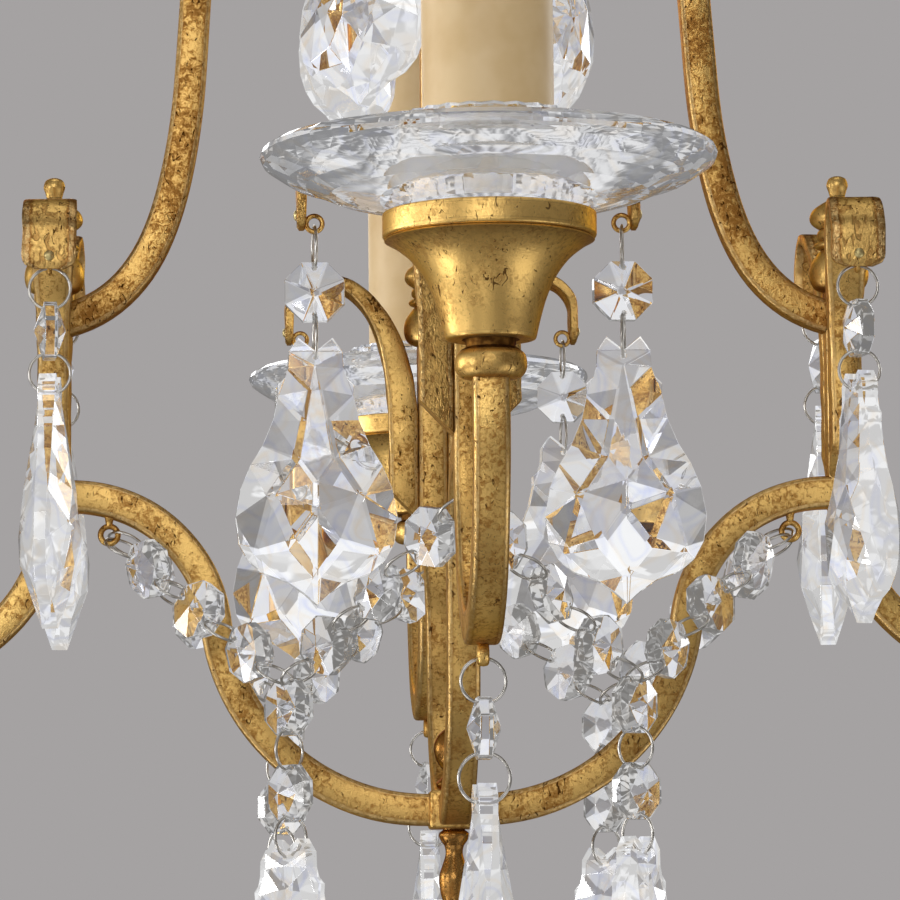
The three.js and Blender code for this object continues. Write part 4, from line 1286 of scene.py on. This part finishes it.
for pattern in [octagon, pear, *rings.values()]:
    bpy.data.objects.remove(pattern)

# Studio
# A plain grey surround, a pale floor well below, and soft lamps round the object at a plain level.
# Metal reflects a darker surround than the camera sees, and glass shows pale panels with gaps between.
BACKDROP = srgb(165, 162, 162)
PALE_TENT = srgb(252, 252, 252)
DARK_SIDE = srgb(116, 113, 110)
PALE_FLOOR = srgb(178, 175, 176)
SOFT_LIGHT = 0.42
PANELS = 8.0
PANEL_SHARE = 0.35
GAPS = 5.0
FLOOR_SIZE = 180.0
FLOOR_DROP = 7.2
FLOOR_GLOW = 0.7
TENT_FOOT = 24.0
world = bpy.data.worlds.new("studio")
scene.world = world
world.use_nodes = True
sky = world.node_tree
sky.nodes.clear()


def sight(ray):
    """Whether a ray comes from the camera, whether it looks at all, and whether it came through glass."""
    camera_ray = ray("Is Camera Ray")
    looking = camera_ray | ray("Is Glossy Ray") | ray("Is Transmission Ray")
    return camera_ray, looking, ray("Transmission Depth") > 0.5


camera_ray, seen, through_glass = sight(ray_reader(sky))
direction = Paint(sky, sky.nodes.new("ShaderNodeTexCoord").outputs["Generated"])
x, y, rise = (direction.through("SeparateXYZ", out=axis, _0=direction) for axis in range(3))
azimuth = direction.maths("ARCTAN2", x, y)
panels = azimuth.maths("COSINE", azimuth * PANELS).ramp(-0.5, 0.2, 1.0, 0.0) * PANEL_SHARE
gaps = azimuth.maths("COSINE", azimuth * GAPS).ramp(-0.8, -0.2, 0.8, 0.0)
pale = rise.ramp(0.17, 0.32) | rise.ramp(-0.2, -0.02, 1.0, 0.0) | panels
around = camera_ray.mix(DARK_SIDE, BACKDROP)
shade = through_glass.mix(around, pale.mix(gaps.mix(BACKDROP, DARK_SIDE), PALE_TENT))
soft = seen.through("Background", Color=srgb(255, 255, 255), Strength=SOFT_LIGHT)
backdrop = seen.through("Background", Color=shade, Strength=1.0)
surround = seen.through("MixShader", _0=seen, _1=soft, _2=backdrop)
out = sky.nodes.new("ShaderNodeOutputWorld")
sky.links.new(surround.socket, out.inputs["Surface"])

bpy.ops.mesh.primitive_plane_add(size=FLOOR_SIZE, location=(0, 0, -FLOOR_DROP))
floor = bpy.context.object
floor.name = "floor"
floor_finish, floor_shader, floor_place = new_finish("pale floor")
floor_place.noise(6, 2).ramp(0.3, 0.7).mix(srgb(186, 184, 182), srgb(192, 190, 188)).feed(
    floor_shader, "Base Color")
floor_shader.inputs["Roughness"].default_value = 0.8
floor_tree = floor_finish.node_tree
camera_ray, seen, through_glass = sight(ray_reader(floor_tree))
far = floor_place.through("VectorMath", out=1, settings=[("operation", "LENGTH")], _0=floor_place)
tent = through_glass.mix(DARK_SIDE, far.ramp(TENT_FOOT, 2.5 * TENT_FOOT).mix(PALE_TENT, BACKDROP))
glow = seen.through("Emission", Color=camera_ray.mix(tent, PALE_FLOOR), Strength=1.0)
lit = Paint(floor_tree, floor_shader.outputs[0])
floor_look = seen.through("MixShader", _0=seen * FLOOR_GLOW, _1=lit, _2=glow)
floor_tree.links.new(floor_look.socket, floor_tree.nodes["Material Output"].inputs["Surface"])
coat(floor, floor_finish)

LAMPS = [
    ("left", (-1.87, 0.33, -0.28), 0.6, 14.0), ("left front", (-1.65, -0.95, -0.28), 0.6, 7.0),
    ("low left", (-1.45, -0.13, -1.5), 0.6, 8.5), ("low right", (1.26, -0.73, -1.45), 1.1, 6.0),
    ("front", (-0.3, -1.85, 0.2), 0.8, 7.5), ("low front", (-0.5, -1.45, -1.3), 0.8, 2.5),
    ("top", (0.0, -0.17, 1.6), 1.0, 5.0), ("back right", (1.3, 1.35, 0.2), 0.8, 8.0),
    ("back", (-0.5, 1.8, 0.4), 0.8, 6.5),
]
target = Vector((0, 0, HUB_HEIGHT + 0.12))
for name, spot, width, power in LAMPS:
    lamp_data = bpy.data.lights.new(name, "AREA")
    lamp_data.size = width
    lamp_data.energy = power
    lamp = bpy.data.objects.new(name, lamp_data)
    lamp.location = spot
    lamp.visible_camera = False
    lamp.visible_transmission = False
    lamp.rotation_euler = (target - Vector(spot)).to_track_quat("-Z", "Y").to_euler()
    scene.collection.objects.link(lamp)

scene.view_settings.view_transform = "Standard"
